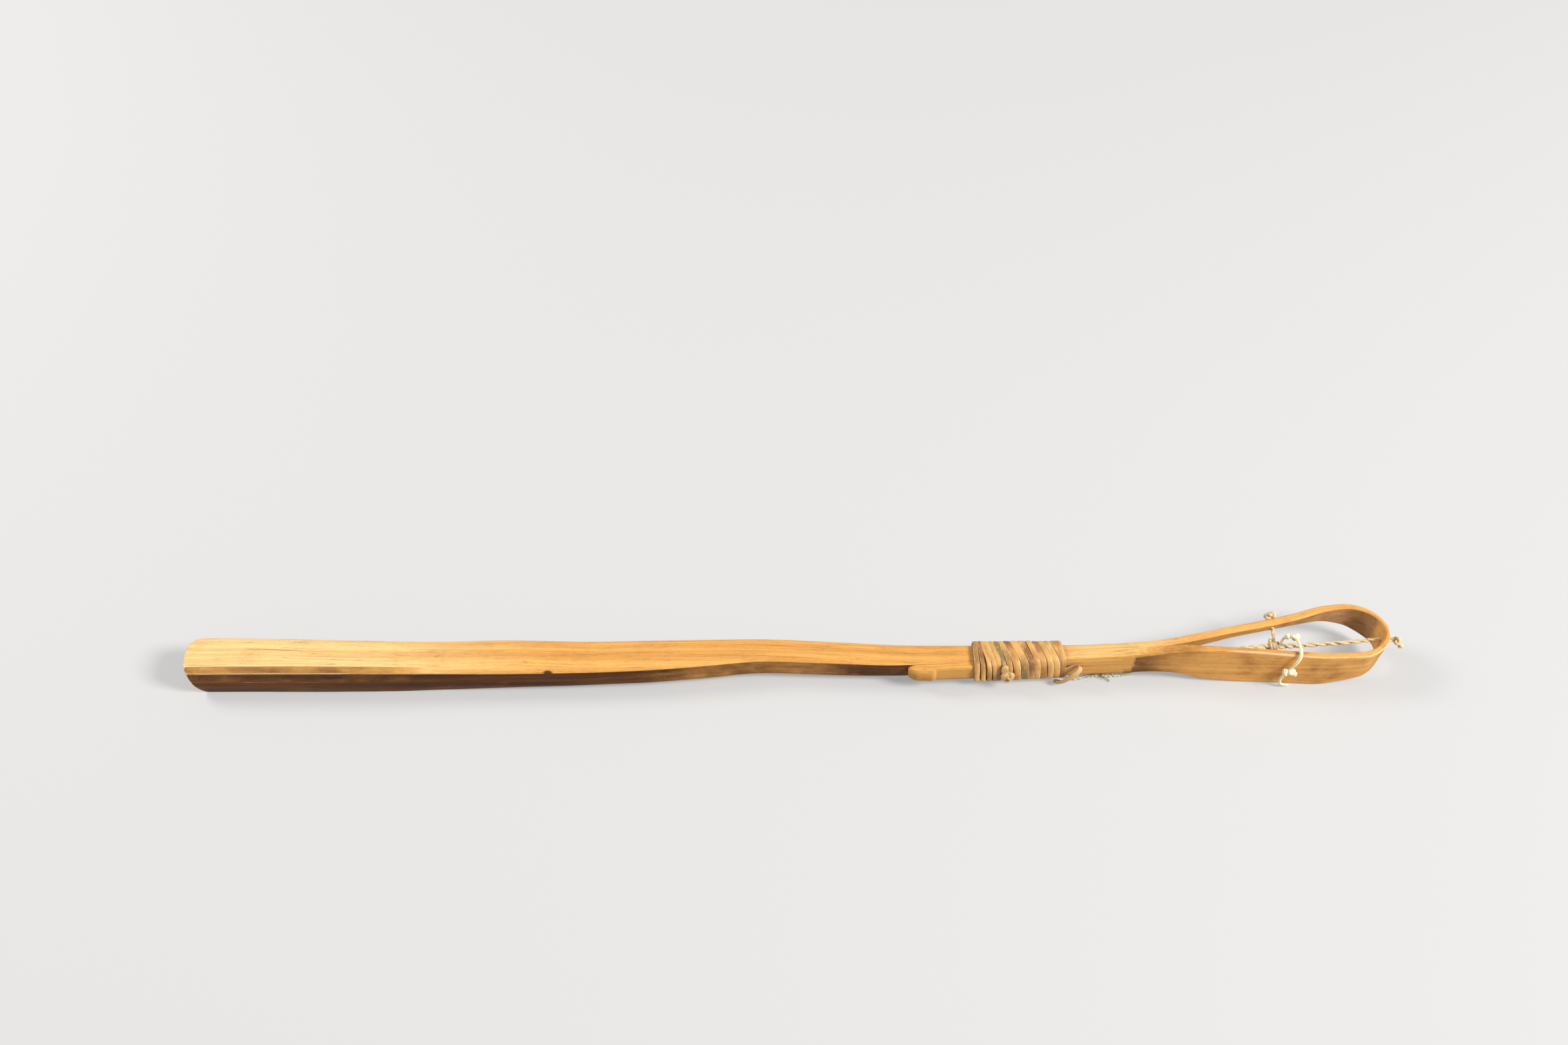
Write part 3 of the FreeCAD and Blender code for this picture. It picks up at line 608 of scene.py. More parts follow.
def sectionPoints(section):
    # the bevelled outline from its top outer corner, and the face that each part is on
    thick, tall, across, down = section[3:7]
    outline = [(-across, 0), (across - thick, 0), (-thick, -down), (-thick, across - tall),
               (down - thick, -tall), (-down, -tall), (0, across - tall), (0, -down)]
    bevel = billet["facesOnBevel"]
    counts = [billet["facesAcross"], bevel, billet["facesDown"], bevel] * 2
    points, faces = [], []
    for spot, count in enumerate(counts):
        start, end = outline[spot], outline[(spot + 1) % len(outline)]
        for share in range(count):
            points.append((start[0] + (end[0] - start[0]) * share / count,
                           start[1] + (end[1] - start[1]) * share / count))
            faces.append(faceNames[spot])
    return points, faces


def scrapedPlace(along, side, up):
    # a place on the limb's outer face scraped back, and how far the scraping reaches there
    places, *columns = zip(*scraping["floor"])
    inside = min(max(along, places[0]), places[-1])
    floor, top, corner = (smoothValue(places, column, inside) for column in columns)
    fallen = min(max((top - up) / scraping["stepTall"], 0), 1)
    edge = scraping["stepTop"] + (scraping["stepBottom"] - scraping["stepTop"]) * fallen
    edge += scraping["stepWanders"] * noise.noise(Vector((0, 3.1, up * 1.1)))
    jags = max(noise.noise(Vector((0, 8.4, up * 2.9))), 0)
    edge += scraping["stepJags"] * jags * between(*scraping["jagsFade"], up)
    long = scraping["stepLong"]
    cut = between(long, 0, along - edge + long) * between(*scraping["starts"], along)
    middle = Vector((floor + corner, top - corner))
    if side < middle.x and up > middle.y:
        away = Vector((side, up)) - middle
        if away.length > corner:
            away *= corner / away.length
        target = middle + away
    else:
        target = Vector((max(side, floor), up))
    return Vector((side, up)).lerp(target, cut), cut


def knobPlace(section, sideways, outwards, up):
    # the limb's end: a knob that stands out of it, its tip rounded
    along, top, tall = section.along, section.top, section.tall
    outer = between(-0.55 * section.thick, -0.25 * section.thick, sideways)
    length = between(*knob["rises"], along) * between(*knob["sinks"], along)
    height = 1 - min(abs(up - (top - 0.5 * tall)) / (tall * 0.62), 1) ** 3
    outwards += knob["stands"] * length * height * outer
    share = min((along - knob["endFrom"]) / knob["endLong"], 1)
    rounded = math.sqrt(1 - (1 - share) ** 2)
    outwards -= knob["endTurns"] * (1 - rounded) * outer
    middle = top - 0.46 * tall
    return outwards, middle + (up - middle) * (knob["endTall"] + (1 - knob["endTall"]) * rounded)


def carvedPlace(where, section, point):
    # a section's point set in its place, with the carver's marks
    along, side, top, thick, tall, across, down, heading, lean = section
    sideways, high = point
    tilt, turn = math.radians(lean), math.radians(heading)
    outwards = sideways * math.cos(tilt) + high * math.sin(tilt)
    up = top + high * math.cos(tilt) - sideways * math.sin(tilt)
    if heading < billet["limbHeads"] and along < knob["shapedTo"]:
        outwards, up = knobPlace(section, sideways, outwards, up)
    if sideways < -0.9 * thick:
        rise = 1 - abs(high + 0.5 * tall) / (0.5 * tall - across)
        fades = between(*billet["sideArrisFades"], along)
        outwards -= billet["sideArris"] * max(rise, 0) * fades
    opens, closes, parts, apart = billet["seam"]
    closed = between(opens, closes, along) * between(apart, parts, along)
    if sideways < -0.5 * thick:
        outwards -= billet["seamDrawsIn"] * closed
        if high > -1.3 * down:
            up -= high * closed * billet["seamFills"]
    depth = 0
    for (length, width, height), deep in (billet["broadMarks"], billet["fineMarks"]):
        depth += deep * noise.noise(Vector((where * length, sideways * width, high * height)))
    if heading < billet["thinHeads"]:
        depth *= billet["bandMarks"]
    away = Vector((sideways + 0.5 * thick, high + 0.5 * tall)).normalized()
    outwards += depth * away.x
    up += depth * away.y
    spot = Vector((along - outwards * math.sin(turn), side + outwards * math.cos(turn), up))
    spot = buttPlace(spot)
    spot.z = max(spot.z, 0)
    return spot


def buttPlace(spot):
    # the handle's end rounded off in plan and down its height
    reach = billet["buttReach"]
    if spot.x < reach:
        end = (smoothValue(*zip(*billet["buttPlan"]), spot.y)
               + smoothValue(*zip(*billet["buttDrop"]), spot.z))
        spot.x = end + spot.x * (1 - end / reach)
    return spot


handlingAndShade = {
    # how dark each face of the wood is painted, from 0 to 1: partly dirt from handling, and
    # partly painted shade on faces turned from the light, such as the near side and the wall's
    # throat; darker underneath
    "under": 0.66, "nearSide": 0.95, "limbInner": 0.35, "armInner": 0.30, "wallInner": 0.5,
    "bevel": 0.16, "bevelDarker": 0.34, "bevelFades": (130, 105), "bevelTo": 130,
    # the wall is darker at its throat, painted shade where it turns from the light
    "knob": 0.42, "scraped": 0.30, "wall": 0.20, "wallTip": 0.12, "wallThroat": 0.50,
    "outer": 0.60, "tipOuter": 0.44, "top": 0.12, "buttEnd": 0.55,
    # stretches along the near side, and how much paler or darker it gets there: paler as painted
    # light where more light falls, darker as painted shade near the limb, and paler on its upper
    # facet as painted light
    "sidePaler": (0.36, 190, 320), "sideDarker": (0.26, 338, 372),
    "sidePalerHigh": (0.16, 170, 110),
    # how dull and grey the inside of the cup and the butt's end are; toward the tip the arm's
    # inside also darkens, a painted shadow of the tip's near wall
    "armDulls": (525, 550, 575, 612), "wallDulls": (524, 540), "buttDull": 0.25,
    "cupFrom": 520, "scrapedTo": 508, "knobTo": 408,
    "wallTipFrom": (592, 612), "wallThroatFrom": (548, 516),
}


def insideShade(where, section):
    # the near side of the handle and shaft, painted darker as shade and paler where more light
    # falls, and the inside of the cup
    along, limb = section.along, section.heading < billet["limbHeads"]
    if along <= handlingAndShade["cupFrom"]:
        (paler, *pale), (darker, *dark) = handlingAndShade["sidePaler"], handlingAndShade["sideDarker"]
        # the near side painted paler further along as painted light, and darker again near the
        # limb as painted shade
        brightening = paler * between(*pale, where) - darker * between(*dark, where)
        return (handlingAndShade["limbInner"] if limb else handlingAndShade["nearSide"] - brightening), 0
    if section.heading > billet["tipHeads"]:
        low, high, lower, higher = handlingAndShade["armDulls"]
        # greyer inside from the throat on, and darker toward the tip as a painted shadow of the
        # tip's near wall
        dull = 0.45 * between(low, high, along) + 0.4 * between(lower, higher, along)
        return handlingAndShade["armInner"], dull
    return (handlingAndShade["wallInner"], between(*handlingAndShade["wallDulls"], along)) if limb else (0, 0)


def faceShade(where, section, face):
    # how dark each face of the wood is painted, from dirt of handling and as painted shade, and
    # how dull, each from 0 to 1
    along, limb = section.along, section.heading < billet["limbHeads"]
    if face in ("under", "lowOuter"):
        return handlingAndShade["under"], 0
    if face in ("inner", "lowInner"):
        return insideShade(where, section)
    if face == "topInner" and where < handlingAndShade["bevelTo"]:
        darker = handlingAndShade["bevelDarker"] * between(*handlingAndShade["bevelFades"], where)
        return handlingAndShade["bevel"] + darker, 0
    if face in ("outer", "topOuter") and limb:
        if along < handlingAndShade["knobTo"]:
            return handlingAndShade["knob"], 0
        if along <= handlingAndShade["scrapedTo"]:
            return handlingAndShade["scraped"], 0
        shade = (handlingAndShade["wall"]
                 + handlingAndShade["wallTip"] * between(*handlingAndShade["wallTipFrom"], along)
                 + handlingAndShade["wallThroat"] * between(*handlingAndShade["wallThroatFrom"], along))
        return shade * (1 if face == "outer" else 0.6), 0
    if face == "outer":
        past = section.heading < billet["tipHeads"]
        return (handlingAndShade["tipOuter"] if past else handlingAndShade["outer"]), 0
    return handlingAndShade["top"] * (2 if limb and along > handlingAndShade["cupFrom"] else 1), 0


def makeBillet():
    stations = billetStations()
    count = len(sectionPoints(stations[0][1])[0])
    deselectAll()
    bpy.ops.mesh.primitive_circle_add(vertices=count, radius=0.01, fill_type="NOTHING")
    wood = bpy.context.object
    wood.name = "hickoryBillet"
    bpy.ops.object.mode_set(mode="EDIT")
    bpy.ops.mesh.select_mode(type="VERT")
    mesh = bmesh.from_edit_mesh(wood.data)
    corner = mesh.verts.layers.int.new("corner")
    station = mesh.verts.layers.int.new("station")
    for spot, vert in enumerate(mesh.verts):
        vert[corner] = spot
    for number, (where, section) in enumerate(stations):
        if number:
            bpy.ops.mesh.extrude_region_move()
            mesh = bmesh.from_edit_mesh(wood.data)
            corner = mesh.verts.layers.int["corner"]
            station = mesh.verts.layers.int["station"]
        points, _ = sectionPoints(section)
        for vert in mesh.verts:
            if vert.select:
                vert[station] = number
                vert.co = place(*carvedPlace(where, section, points[vert[corner]]))
    # the last ring is still selected, and the first one is the open end that is left
    bpy.ops.mesh.fill_grid(span=count // 4)
    bpy.ops.mesh.select_all(action="DESELECT")
    mesh = bmesh.from_edit_mesh(wood.data)
    for vert in mesh.verts:
        vert.select = vert.is_boundary
    mesh.select_flush(True)
    bmesh.update_edit_mesh(wood.data)
    bpy.ops.mesh.fill_grid(span=count // 4)
    bpy.ops.mesh.select_all(action="SELECT")
    bpy.ops.mesh.normals_make_consistent(inside=False)
    bpy.ops.object.mode_set(mode="OBJECT")
    markBillet(wood, stations)
    smooth = wood.modifiers.new("smooth", "SUBSURF")
    smooth.levels = smooth.render_levels = billet["levels"]
    applyAll(wood)
    scrapeLimb(wood, stations)
    pick(wood)
    bpy.ops.object.shade_smooth()
    print("billet bent", len(stations), "stations")
    return wood


arrisWearAndHighlight = {
    # how bright each arris is painted, from 0 to 1: pale with wear, and brighter on the upper
    # arrises and the near side's ridge as a painted highlight
    "high": 1, "low": 0.4, "throatFrom": 376, "throatTo": 527,
    "handleTo": 500, "handleLess": (0.16, 100, 160), "farLess": 0.5,
    "limbLess": (0.4, 525, 580), "sideArris": 0.86,
    "bevelsNarrow": (2.4, 1.1),   # bevels as narrow as this are rubbed all over
    # how sharp the arrises stay: in general, where the top's soften, at the knob and at rims
    "crease": 0.66, "creaseSoftens": (0.3, 90, 130), "knobTo": 410, "knobCrease": 0.25,
    "buttCrease": 0.5, "limbCrease": 0.1,
}


def wornAndLitArris(where, section, face, high):
    # how bright an arris of this face is painted, pale with wear and as a painted highlight
    limb = section.heading < billet["limbHeads"]
    # upper arrises brighter than lower ones: a painted highlight
    bright = arrisWearAndHighlight["high"] if high > -0.5 * section.tall else arrisWearAndHighlight["low"]
    throat = arrisWearAndHighlight["throatFrom"] < section.along < arrisWearAndHighlight["throatTo"]
    if face in ("top", "topInner", "inner") and (where > billet["armFrom"] or throat):
        bright = arrisWearAndHighlight["low"]
    if where < arrisWearAndHighlight["handleTo"]:
        less, *fades = arrisWearAndHighlight["handleLess"]
        bright *= 1 - less * between(*fades, where)
    if limb:
        least, *rises = arrisWearAndHighlight["limbLess"]
        bright *= least + (1 - least) * between(*rises, section.along)
    return bright


def markBillet(wood, stations):
    # attributes that the finish reads, and creases along the arrises
    mesh = bmesh.new()
    mesh.from_mesh(wood.data)
    corner = mesh.verts.layers.int["corner"]
    station = mesh.verts.layers.int["station"]
    grain = mesh.verts.layers.float_vector.new("grain")
    shade = mesh.loops.layers.float.new("shade")
    dull = mesh.loops.layers.float.new("dull")
    arris = mesh.verts.layers.float.new("arris")
    crease = mesh.edges.layers.float.new("crease_edge")
    outlines = [sectionPoints(section) for _, section in stations]
    faces = outlines[0][1]
    count = len(faces)
    arrises = {spot for spot in range(count) if faces[spot] != faces[spot - 1]}
    sideArris = faces.index("inner") + billet["facesDown"] // 2
    capInside = set()
    for vert in mesh.verts:
        where, section = stations[vert[station]]
        sideways, high = outlines[vert[station]][0][vert[corner]]
        carved = place(*carvedPlace(where, section, (sideways, high)))
        if (carved - vert.co).length > 1e-5:
            # a new vertex in one of the end caps
            vert[grain] = (vert.co.x + seat["along"] / 1000, vert.co.y, vert.co.z)
            capInside.add(vert)
            continue
        vert[grain] = (where / 1000, sideways / 1000, (section.top + high) / 1000)
        face = faces[vert[corner]]
        bright = wornAndLitArris(where, section, face, high)
        if where < arrisWearAndHighlight["handleTo"] and (face == "topOuter" or vert[corner] == 0):
            bright *= arrisWearAndHighlight["farLess"]
        if vert[corner] in arrises or vert[station] == 0:
            vert[arris] = bright
        elif face in ("topInner", "lowInner", "lowOuter", "topOuter"):
            vert[arris] = bright * between(*arrisWearAndHighlight["bevelsNarrow"], section.across)
        # the near side's ridge: a painted highlight
        elif vert[corner] == sideArris:
            vert[arris] = arrisWearAndHighlight["sideArris"] * between(*billet["sideArrisFades"], where)
    paler, *palerFrom = handlingAndShade["sidePalerHigh"]
    for face in mesh.faces:
        numbers = sorted({vert[corner] for vert in face.verts})
        name = "inner"
        if len(numbers) == 2:
            name = faces[numbers[1] if numbers == [0, count - 1] else numbers[0]]
        capped = any(vert in capInside for vert in face.verts)
        for loop in face.loops:
            where, section = stations[loop.vert[station]]
            loop[shade], loop[dull] = faceShade(where, section, name)
            if capped:
                loop[shade], loop[dull] = handlingAndShade["buttEnd"], handlingAndShade["buttDull"]
            # the near side's upper facet painted paler toward the butt, as painted light where
            # more light reaches it
            if name == "inner" and numbers[-1] <= sideArris:
                loop[shade] -= paler * between(*palerFrom, where)
    for edge in mesh.edges:
        one, other = sorted(edge.verts, key=lambda vert: vert[station])
        where, section = stations[one[station]]
        if one[corner] == other[corner] and one[corner] in arrises:
            softer, *softens = arrisWearAndHighlight["creaseSoftens"]
            soft = between(*softens, where) if faces[one[corner]] in (
                "top", "topInner", "topOuter") else 0
            edge[crease] = arrisWearAndHighlight["crease"] - softer * soft
            if section.heading < billet["limbHeads"] and section.along < arrisWearAndHighlight["knobTo"]:
                edge[crease] = arrisWearAndHighlight["knobCrease"]
        elif one[corner] == other[corner] == sideArris:
            edge[crease] = arrisWearAndHighlight["crease"] * between(*billet["sideArrisFades"], where)
        elif len(edge.link_faces) == 2:
            # the rims of the butt and of the limb's end part a cap's face from a side's
            flat = [len({vert[station] for vert in face.verts}) == 1
                    for face in edge.link_faces]
            if flat[0] != flat[1]:
                edge[crease] = arrisWearAndHighlight["limbCrease" if one[station] else "buttCrease"]
    mesh.to_mesh(wood.data)
    mesh.free()


def scrapeLimb(wood, stations):
    # the limb's outer face cut back behind the knob, up to the jagged step
    scraped = wood.data.attributes.new("scraped", "FLOAT", "POINT").data
    fibre = wood.data.attributes["grain"].data
    limbFrom = next(where for where, section in stations
                    if section.heading < billet["limbHeads"]
                    and section.along < scraping["limbTo"])
    for vert in wood.data.vertices:
        vert.co.z = max(vert.co.z, 0)
        where, sideways, _ = fibre[vert.index].vector * 1000
        if where > limbFrom and sideways > scraping["skinFrom"]:
            along = vert.co.x * 1000 + seat["along"]
            side = vert.co.y * 1000 + seat["side"]
            (side, up), cut = scrapedPlace(along, side, vert.co.z * 1000)
            vert.co = place(along, side, up)
            scraped[vert.index].value = cut * between(*scraping["skinFades"], sideways)


def evenPlaces(places, gap):
    # the same line with its places a gap apart
    lengths = [0.0]
    for before, after in zip(places, places[1:]):
        lengths.append(lengths[-1] + (after - before).length)
    count = max(round(lengths[-1] / gap), 4)
    even = []
    spot = 0
    for step in range(count + 1):
        target = lengths[-1] * step / count
        while spot < len(lengths) - 2 and lengths[spot + 1] < target:
            spot += 1
        span = lengths[spot + 1] - lengths[spot]
        even.append(places[spot].lerp(places[spot + 1], (target - lengths[spot]) / span))
    return even


def lineLength(line):
    return sum((after - before).length for before, after in zip(line, line[1:]))


def tangentAt(places, spot, closed=False):
    # the line's direction at one of its places
    last = len(places) - 1
    before = places[spot - 1] if closed or spot else places[0]
    after = places[(spot + 1) % len(places)] if closed or spot < last else places[last]
    return (after - before).normalized()


def carriedNormals(places, start, closed=False):
    # a direction square to the line, carried along it without twisting
    normals = []
    normal = start.copy()
    for spot in range(len(places)):
        tangent = tangentAt(places, spot, closed)
        normal = (normal - tangent * normal.dot(tangent)).normalized()
        normals.append(normal.copy())
    return normals


def sweep(name, places, normals, outline, closed=False, tone=0.0):
    # a strip: outline(step, share) gives its section's (across, out) points, in metres
    mesh = bmesh.new()
    run = mesh.loops.layers.float_vector.new("run")
    edge = mesh.verts.layers.float.new("edge")
    rings = []
    last = len(places) - 1
    for spot, centre in enumerate(places):
        across = tangentAt(places, spot, closed).cross(normals[spot]).normalized()
        section = outline(spot, spot / last)
        widest = max(abs(sideways) for sideways, _ in section)
        rings.append([])
        for sideways, outwards in section:
            vert = mesh.verts.new(centre + across * sideways + normals[spot] * outwards)
            vert[edge] = sideways / widest
            rings[-1].append(vert)
    lengths, rounds = [0.0], [0.0]
    for before, after in zip(places, places[1:]):
        lengths.append(lengths[-1] + (after - before).length)
    lengths.append(lengths[-1] + 0.0005)
    count = len(rings[0])
    for spot in range(count):
        rounds.append(rounds[-1] + (rings[0][spot].co - rings[0][(spot + 1) % count].co).length)
    for spot in range(last + 1 if closed else last):
        ring, following = rings[spot], rings[(spot + 1) % (last + 1)]
        for around in range(count):
            beside = (around + 1) % count
            face = mesh.faces.new((ring[around], ring[beside], following[beside],
                                   following[around]))
            spans = ((spot, around), (spot, around + 1), (spot + 1, around + 1),
                     (spot + 1, around))
            for loop, (ahead, aside) in zip(face.loops, spans):
                loop[run] = (lengths[ahead] + tone, rounds[aside] + tone * 0.37, 0)
    for ring in () if closed else (rings[0][::-1], rings[-1]):
        middle = mesh.verts.new(sum((vert.co for vert in ring), Vector()) / count)
        for around in range(count):
            cap = mesh.faces.new((ring[around], ring[(around + 1) % count], middle))
            for loop in cap.loops:
                loop[run] = (tone, loop.vert.co.z, 0)
    for face in mesh.faces:
        face.smooth = True
    bmesh.ops.recalc_face_normals(mesh, faces=mesh.faces)
    data = bpy.data.meshes.new(name)
    mesh.to_mesh(data)
    mesh.free()
    made = bpy.data.objects.new(name, data)
    bpy.context.scene.collection.objects.link(made)
    return made


def oval(wide, tall, sides):
    turns = [math.tau * side / sides for side in range(sides)]
    return [(wide * math.cos(turn), tall * math.sin(turn)) for turn in turns]


def joinAs(name, pieces):
    pick(pieces[0])
    for item in pieces[1:]:
        item.select_set(True)
    if len(pieces) > 1:
        bpy.ops.object.join()
    joined = bpy.context.object
    joined.name = name
    joined.data.name = name
    return joined


def finished(piece, finish, node, levels=0):
    if levels:
        smooth = piece.modifiers.new("smooth", "SUBSURF")
        smooth.levels = smooth.render_levels = levels
        applyAll(piece)
    piece.data.materials.clear()
    piece.data.materials.append(finish)
    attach(piece, "root")
    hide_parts(node)


cordRoutes = {
    "longCord": [(655.2, 9.8, 18.4), (645.6, 10.7, 17.9), (633.0, 9.3, 17.1),
                 (616.0, 8.3, 16.5), (598.0, 7.2, 16.2), (580.0, 6.4, 15.9),
                 (562.0, 4.4, 14.6), (535.0, 3.5, 14.2)],
    "crossCord": [(589.6, 22.8, 21.7), (589.6, 12.8, 21.5), (589.3, 8.8, 18.0)],
    "lace": [(593.0, 6.8, 18.4), (593.2, 8.2, 21.2), (596.6, 8.2, 23.7), (600.0, 5.6, 24.7),
             (600.3, 1.4, 26.0), (600.7, -3.2, 26.4), (600.6, -7.3, 24.6),
             (599.0, -8.1, 20.2), (596.9, -7.7, 16.0), (594.4, -7.7, 11.4),
             (592.2, -7.6, 6.8), (592.1, -7.7, 3.2), (594.2, -7.9, 1.4), (597.4, -7.7, 1.2)],
    "twine": [(470.6, -0.6, 2.4), (474.4, -0.9, 1.9), (477.8, -2.9, 1.2), (481.2, -3.7, 1.1),
              (487.6, -1.9, 1.1), (494.2, -0.4, 1.1), (499.8, -0.9, 1.1), (505.4, -0.9, 1.1),
              (513.6, 0.8, 1.1)],
    "knotFold0": [(443.8, -7.2, 16.6), (442.9, -8.4, 16.6), (442.8, -9.3, 14.8),
                  (443.6, -9.3, 13.2), (444.6, -8.6, 12.2)],
    "knotFold1": [(444.6, -8.8, 12.8), (443.2, -9.8, 12.7), (442.2, -9.9, 10.9),
                  (442.9, -10.0, 9.0), (444.4, -9.2, 8.4)],
    "knotFold2": [(444.2, -8.8, 12.6), (445.9, -9.8, 12.8), (447.0, -9.7, 11.2),
                  (446.5, -9.9, 9.4), (444.9, -9.2, 8.6)],
    "knotFold3": [(442.3, -8.8, 9.2), (443.2, -10.0, 8.0), (444.8, -10.3, 7.5),
                  (446.3, -9.9, 8.1), (447.0, -8.8, 9.2)],
    "knotFold4": [(442.6, -9.6, 11.8), (444.0, -10.9, 11.2), (445.2, -10.9, 10.2),
                  (446.2, -9.9, 9.0)],
    "knotFold5": [(443.8, -8.6, 12.6), (444.4, -9.4, 11.4), (444.6, -9.5, 10.2),
                  (444.6, -8.8, 9.0)],
    "thongTail": [(473.6, -4.6, 6.5), (476.6, -4.7, 10.4), (480.0, -4.7, 13.4),
                  (483.0, -5.0, 14.4), (484.0, -6.6, 13.0), (481.2, -8.2, 10.6),
                  (477.6, -8.4, 7.2), (474.4, -8.2, 4.0), (471.2, -7.6, 2.4),
                  (470.2, -5.8, 2.0), (472.6, -4.9, 2.0), (474.8, -6.0, 2.2)],
}

knotLoops = {
    # for each loop of a knot: its centre, half its sizes, its strand's radius, degrees that it
    # is turned, and a number that makes its unevenness its own
    "longCordKnot": [((656.6, 8.9, 18.3), (1.7, 2.0, 1.2), 0.85, (20, 70, 10), 2.1),
                     ((658.0, 7.0, 17.2), (1.0, 1.2, 0.7), 0.7, (60, 20, 50), 4.7)],
    "crossCordKnot": [((590.2, 23.6, 23.2), (1.9, 1.3, 1.0), 1.0, (30, 0, 10), 3.3),
                      ((587.9, 23.2, 22.2), (1.1, 1.3, 0.9), 0.95, (0, 60, 30), 7.1),
                      ((587.5, 9.3, 18.4), (0.5, 1.0, 0.5), 0.55, (40, 0, 0), 8.8)],
    "laceUpperKnot": [((595.8, 7.6, 23.7), (0.45, 0.6, 0.35), 1.05, (10, 30, 20), 5.5),
                      ((600.0, 6.9, 24.0), (1.45, 0.7, 0.5), 1.40, (30, 0, 10), 6.6)],
    "laceWallKnot": [((593.7, -8.2, 12.7), (0.55, 1.1, 0.5), 1.30, (70, 10, 10), 8.2),
                     ((597.0, -8.3, 13.0), (1.35, 0.65, 0.5), 1.35, (80, 10, 20), 9.4),
                     ((599.2, -8.6, 11.6), (0.5, 0.8, 0.4), 0.65, (60, 30, 20), 3.4)],
    "twineKnot": [((497.8, -1.2, 1.5), (1.0, 1.1, 0.6), 0.6, (20, 0, 30), 1.9),
                  ((499.2, -1.5, 1.3), (0.8, 0.7, 0.5), 0.5, (0, 30, 0), 2.9)],
}


def cordLine(name, gap):
    # places on the smooth line that a cord's route gives
    curve = bpy.data.curves.new(name, "CURVE")
    curve.dimensions = "3D"
    curve.resolution_u = 16
    route = curve.splines.new("NURBS")
    spots = cordRoutes[name]
    route.points.add(len(spots) - 1)
    for point, spot in zip(route.points, spots):
        point.co = (*place(*spot), 1)
    route.order_u = 3
    route.use_endpoint_u = True
    holder = bpy.data.objects.new(name, curve)
    bpy.context.scene.collection.objects.link(holder)
    line = bpy.data.meshes.new_from_object(holder)
    places = [vert.co.copy() for vert in line.vertices]
    bpy.data.objects.remove(holder)
    bpy.data.meshes.remove(line)
    return evenPlaces(places, gap)


def twistedPlies(name, line, radius, offset, pitch, own, sides=9, swell=0.0):
    # two plies laid round a cord's line, uneven as old hand-laid cord is
    normals = carriedNormals(line, Vector((0, 0, 1)))
    gap = (line[1] - line[0]).length
    plies = []
    for ply in range(2):
        laid, turnedOut, wides = [], [], []
        angle = math.pi * ply
        for spot, centre in enumerate(line):
            length = spot * gap
            loose = noise.noise(Vector((length * 90, own, 0)))
            angle += math.tau * gap / (pitch * (1 + 0.55 * loose))
            across = tangentAt(line, spot).cross(normals[spot])
            out = normals[spot] * math.cos(angle) + across * math.sin(angle)
            swollen = 1 + swell * between(0.1, 0.5, spot / len(line))
            wander = 1 + 0.45 * noise.noise(Vector((length * 160, own, 7.0 * ply + 3)))
            lump = 1 + 0.32 * noise.noise(Vector((length * 300, own + 5, ply * 9.0)))
            laid.append(centre + out * offset * (wander * swollen))
            turnedOut.append(out)
            wides.append(radius * lump * swollen)

        def outline(spot, share, wides=wides):
            return oval(wides[spot] * 1.12, wides[spot] * 0.92, sides)
        plies.append(sweep(f"{name}Ply{ply}", laid, carriedNormals(laid, turnedOut[0]), outline,
                           tone=0.31 * ply + own))
    return joinAs(name, plies)


def tiedLoop(centre, halves, radius, turn, own):
    # a small overhand knot, drawn tight
    facing = Euler([math.radians(angle) for angle in turn]).to_matrix()
    count = 66
    places = []
    for step in range(count):
        angle = math.tau * step / count
        spot = Vector(((math.sin(angle) + 2 * math.sin(2 * angle)) / 3 * halves[0],
                       (math.cos(angle) - 2 * math.cos(2 * angle)) / 3 * halves[1],
                       -math.sin(3 * angle) * halves[2]))
        spot *= 1 + 0.12 * noise.noise(spot * 0.9 + Vector((own, 0, 0)))
        places.append(place(*centre) + facing @ spot / 1000)
    normals = carriedNormals(places, Vector((0.1, 0.2, 1)), closed=True)
    return sweep("loop", places, normals,
                 lambda spot, share: oval(radius / 1000, radius / 1000, 10), closed=True,
                 tone=own)


def knotOf(name):
    return joinAs(name, [tiedLoop(*loop) for loop in knotLoops[name]])


def strayFibres(name, line, count, reach, seed):
    # short hairs standing out of a cord
    chance = random.Random(seed)
    hairs = []
    for _ in range(count):
        spot = chance.randrange(3, len(line) - 3)
        ahead = (line[spot + 1] - line[spot - 1]).normalized() * chance.choice((-1, 1))
        away = Vector([chance.uniform(-1, 1) for _ in range(3)])
        away = (away - ahead * away.dot(ahead)).normalized()
        bow = ahead.cross(away) * chance.uniform(-0.5, 0.5)
        length = reach * chance.uniform(0.4, 1)
        places = []
        for step in range(9):
            share = step / 8
            lean = away * share * (1 - 0.3 * share) + ahead * share ** 1.7 + bow * share ** 2
            hair = line[spot] + lean * length
            hair.z = max(hair.z, 0.0001)
            places.append(hair)
        hairs.append(sweep("hair", places, carriedNormals(places, ahead.cross(away)),
                           lambda spot, share: oval(0.00007, 0.00007, 5)))
    return joinAs(name, hairs)


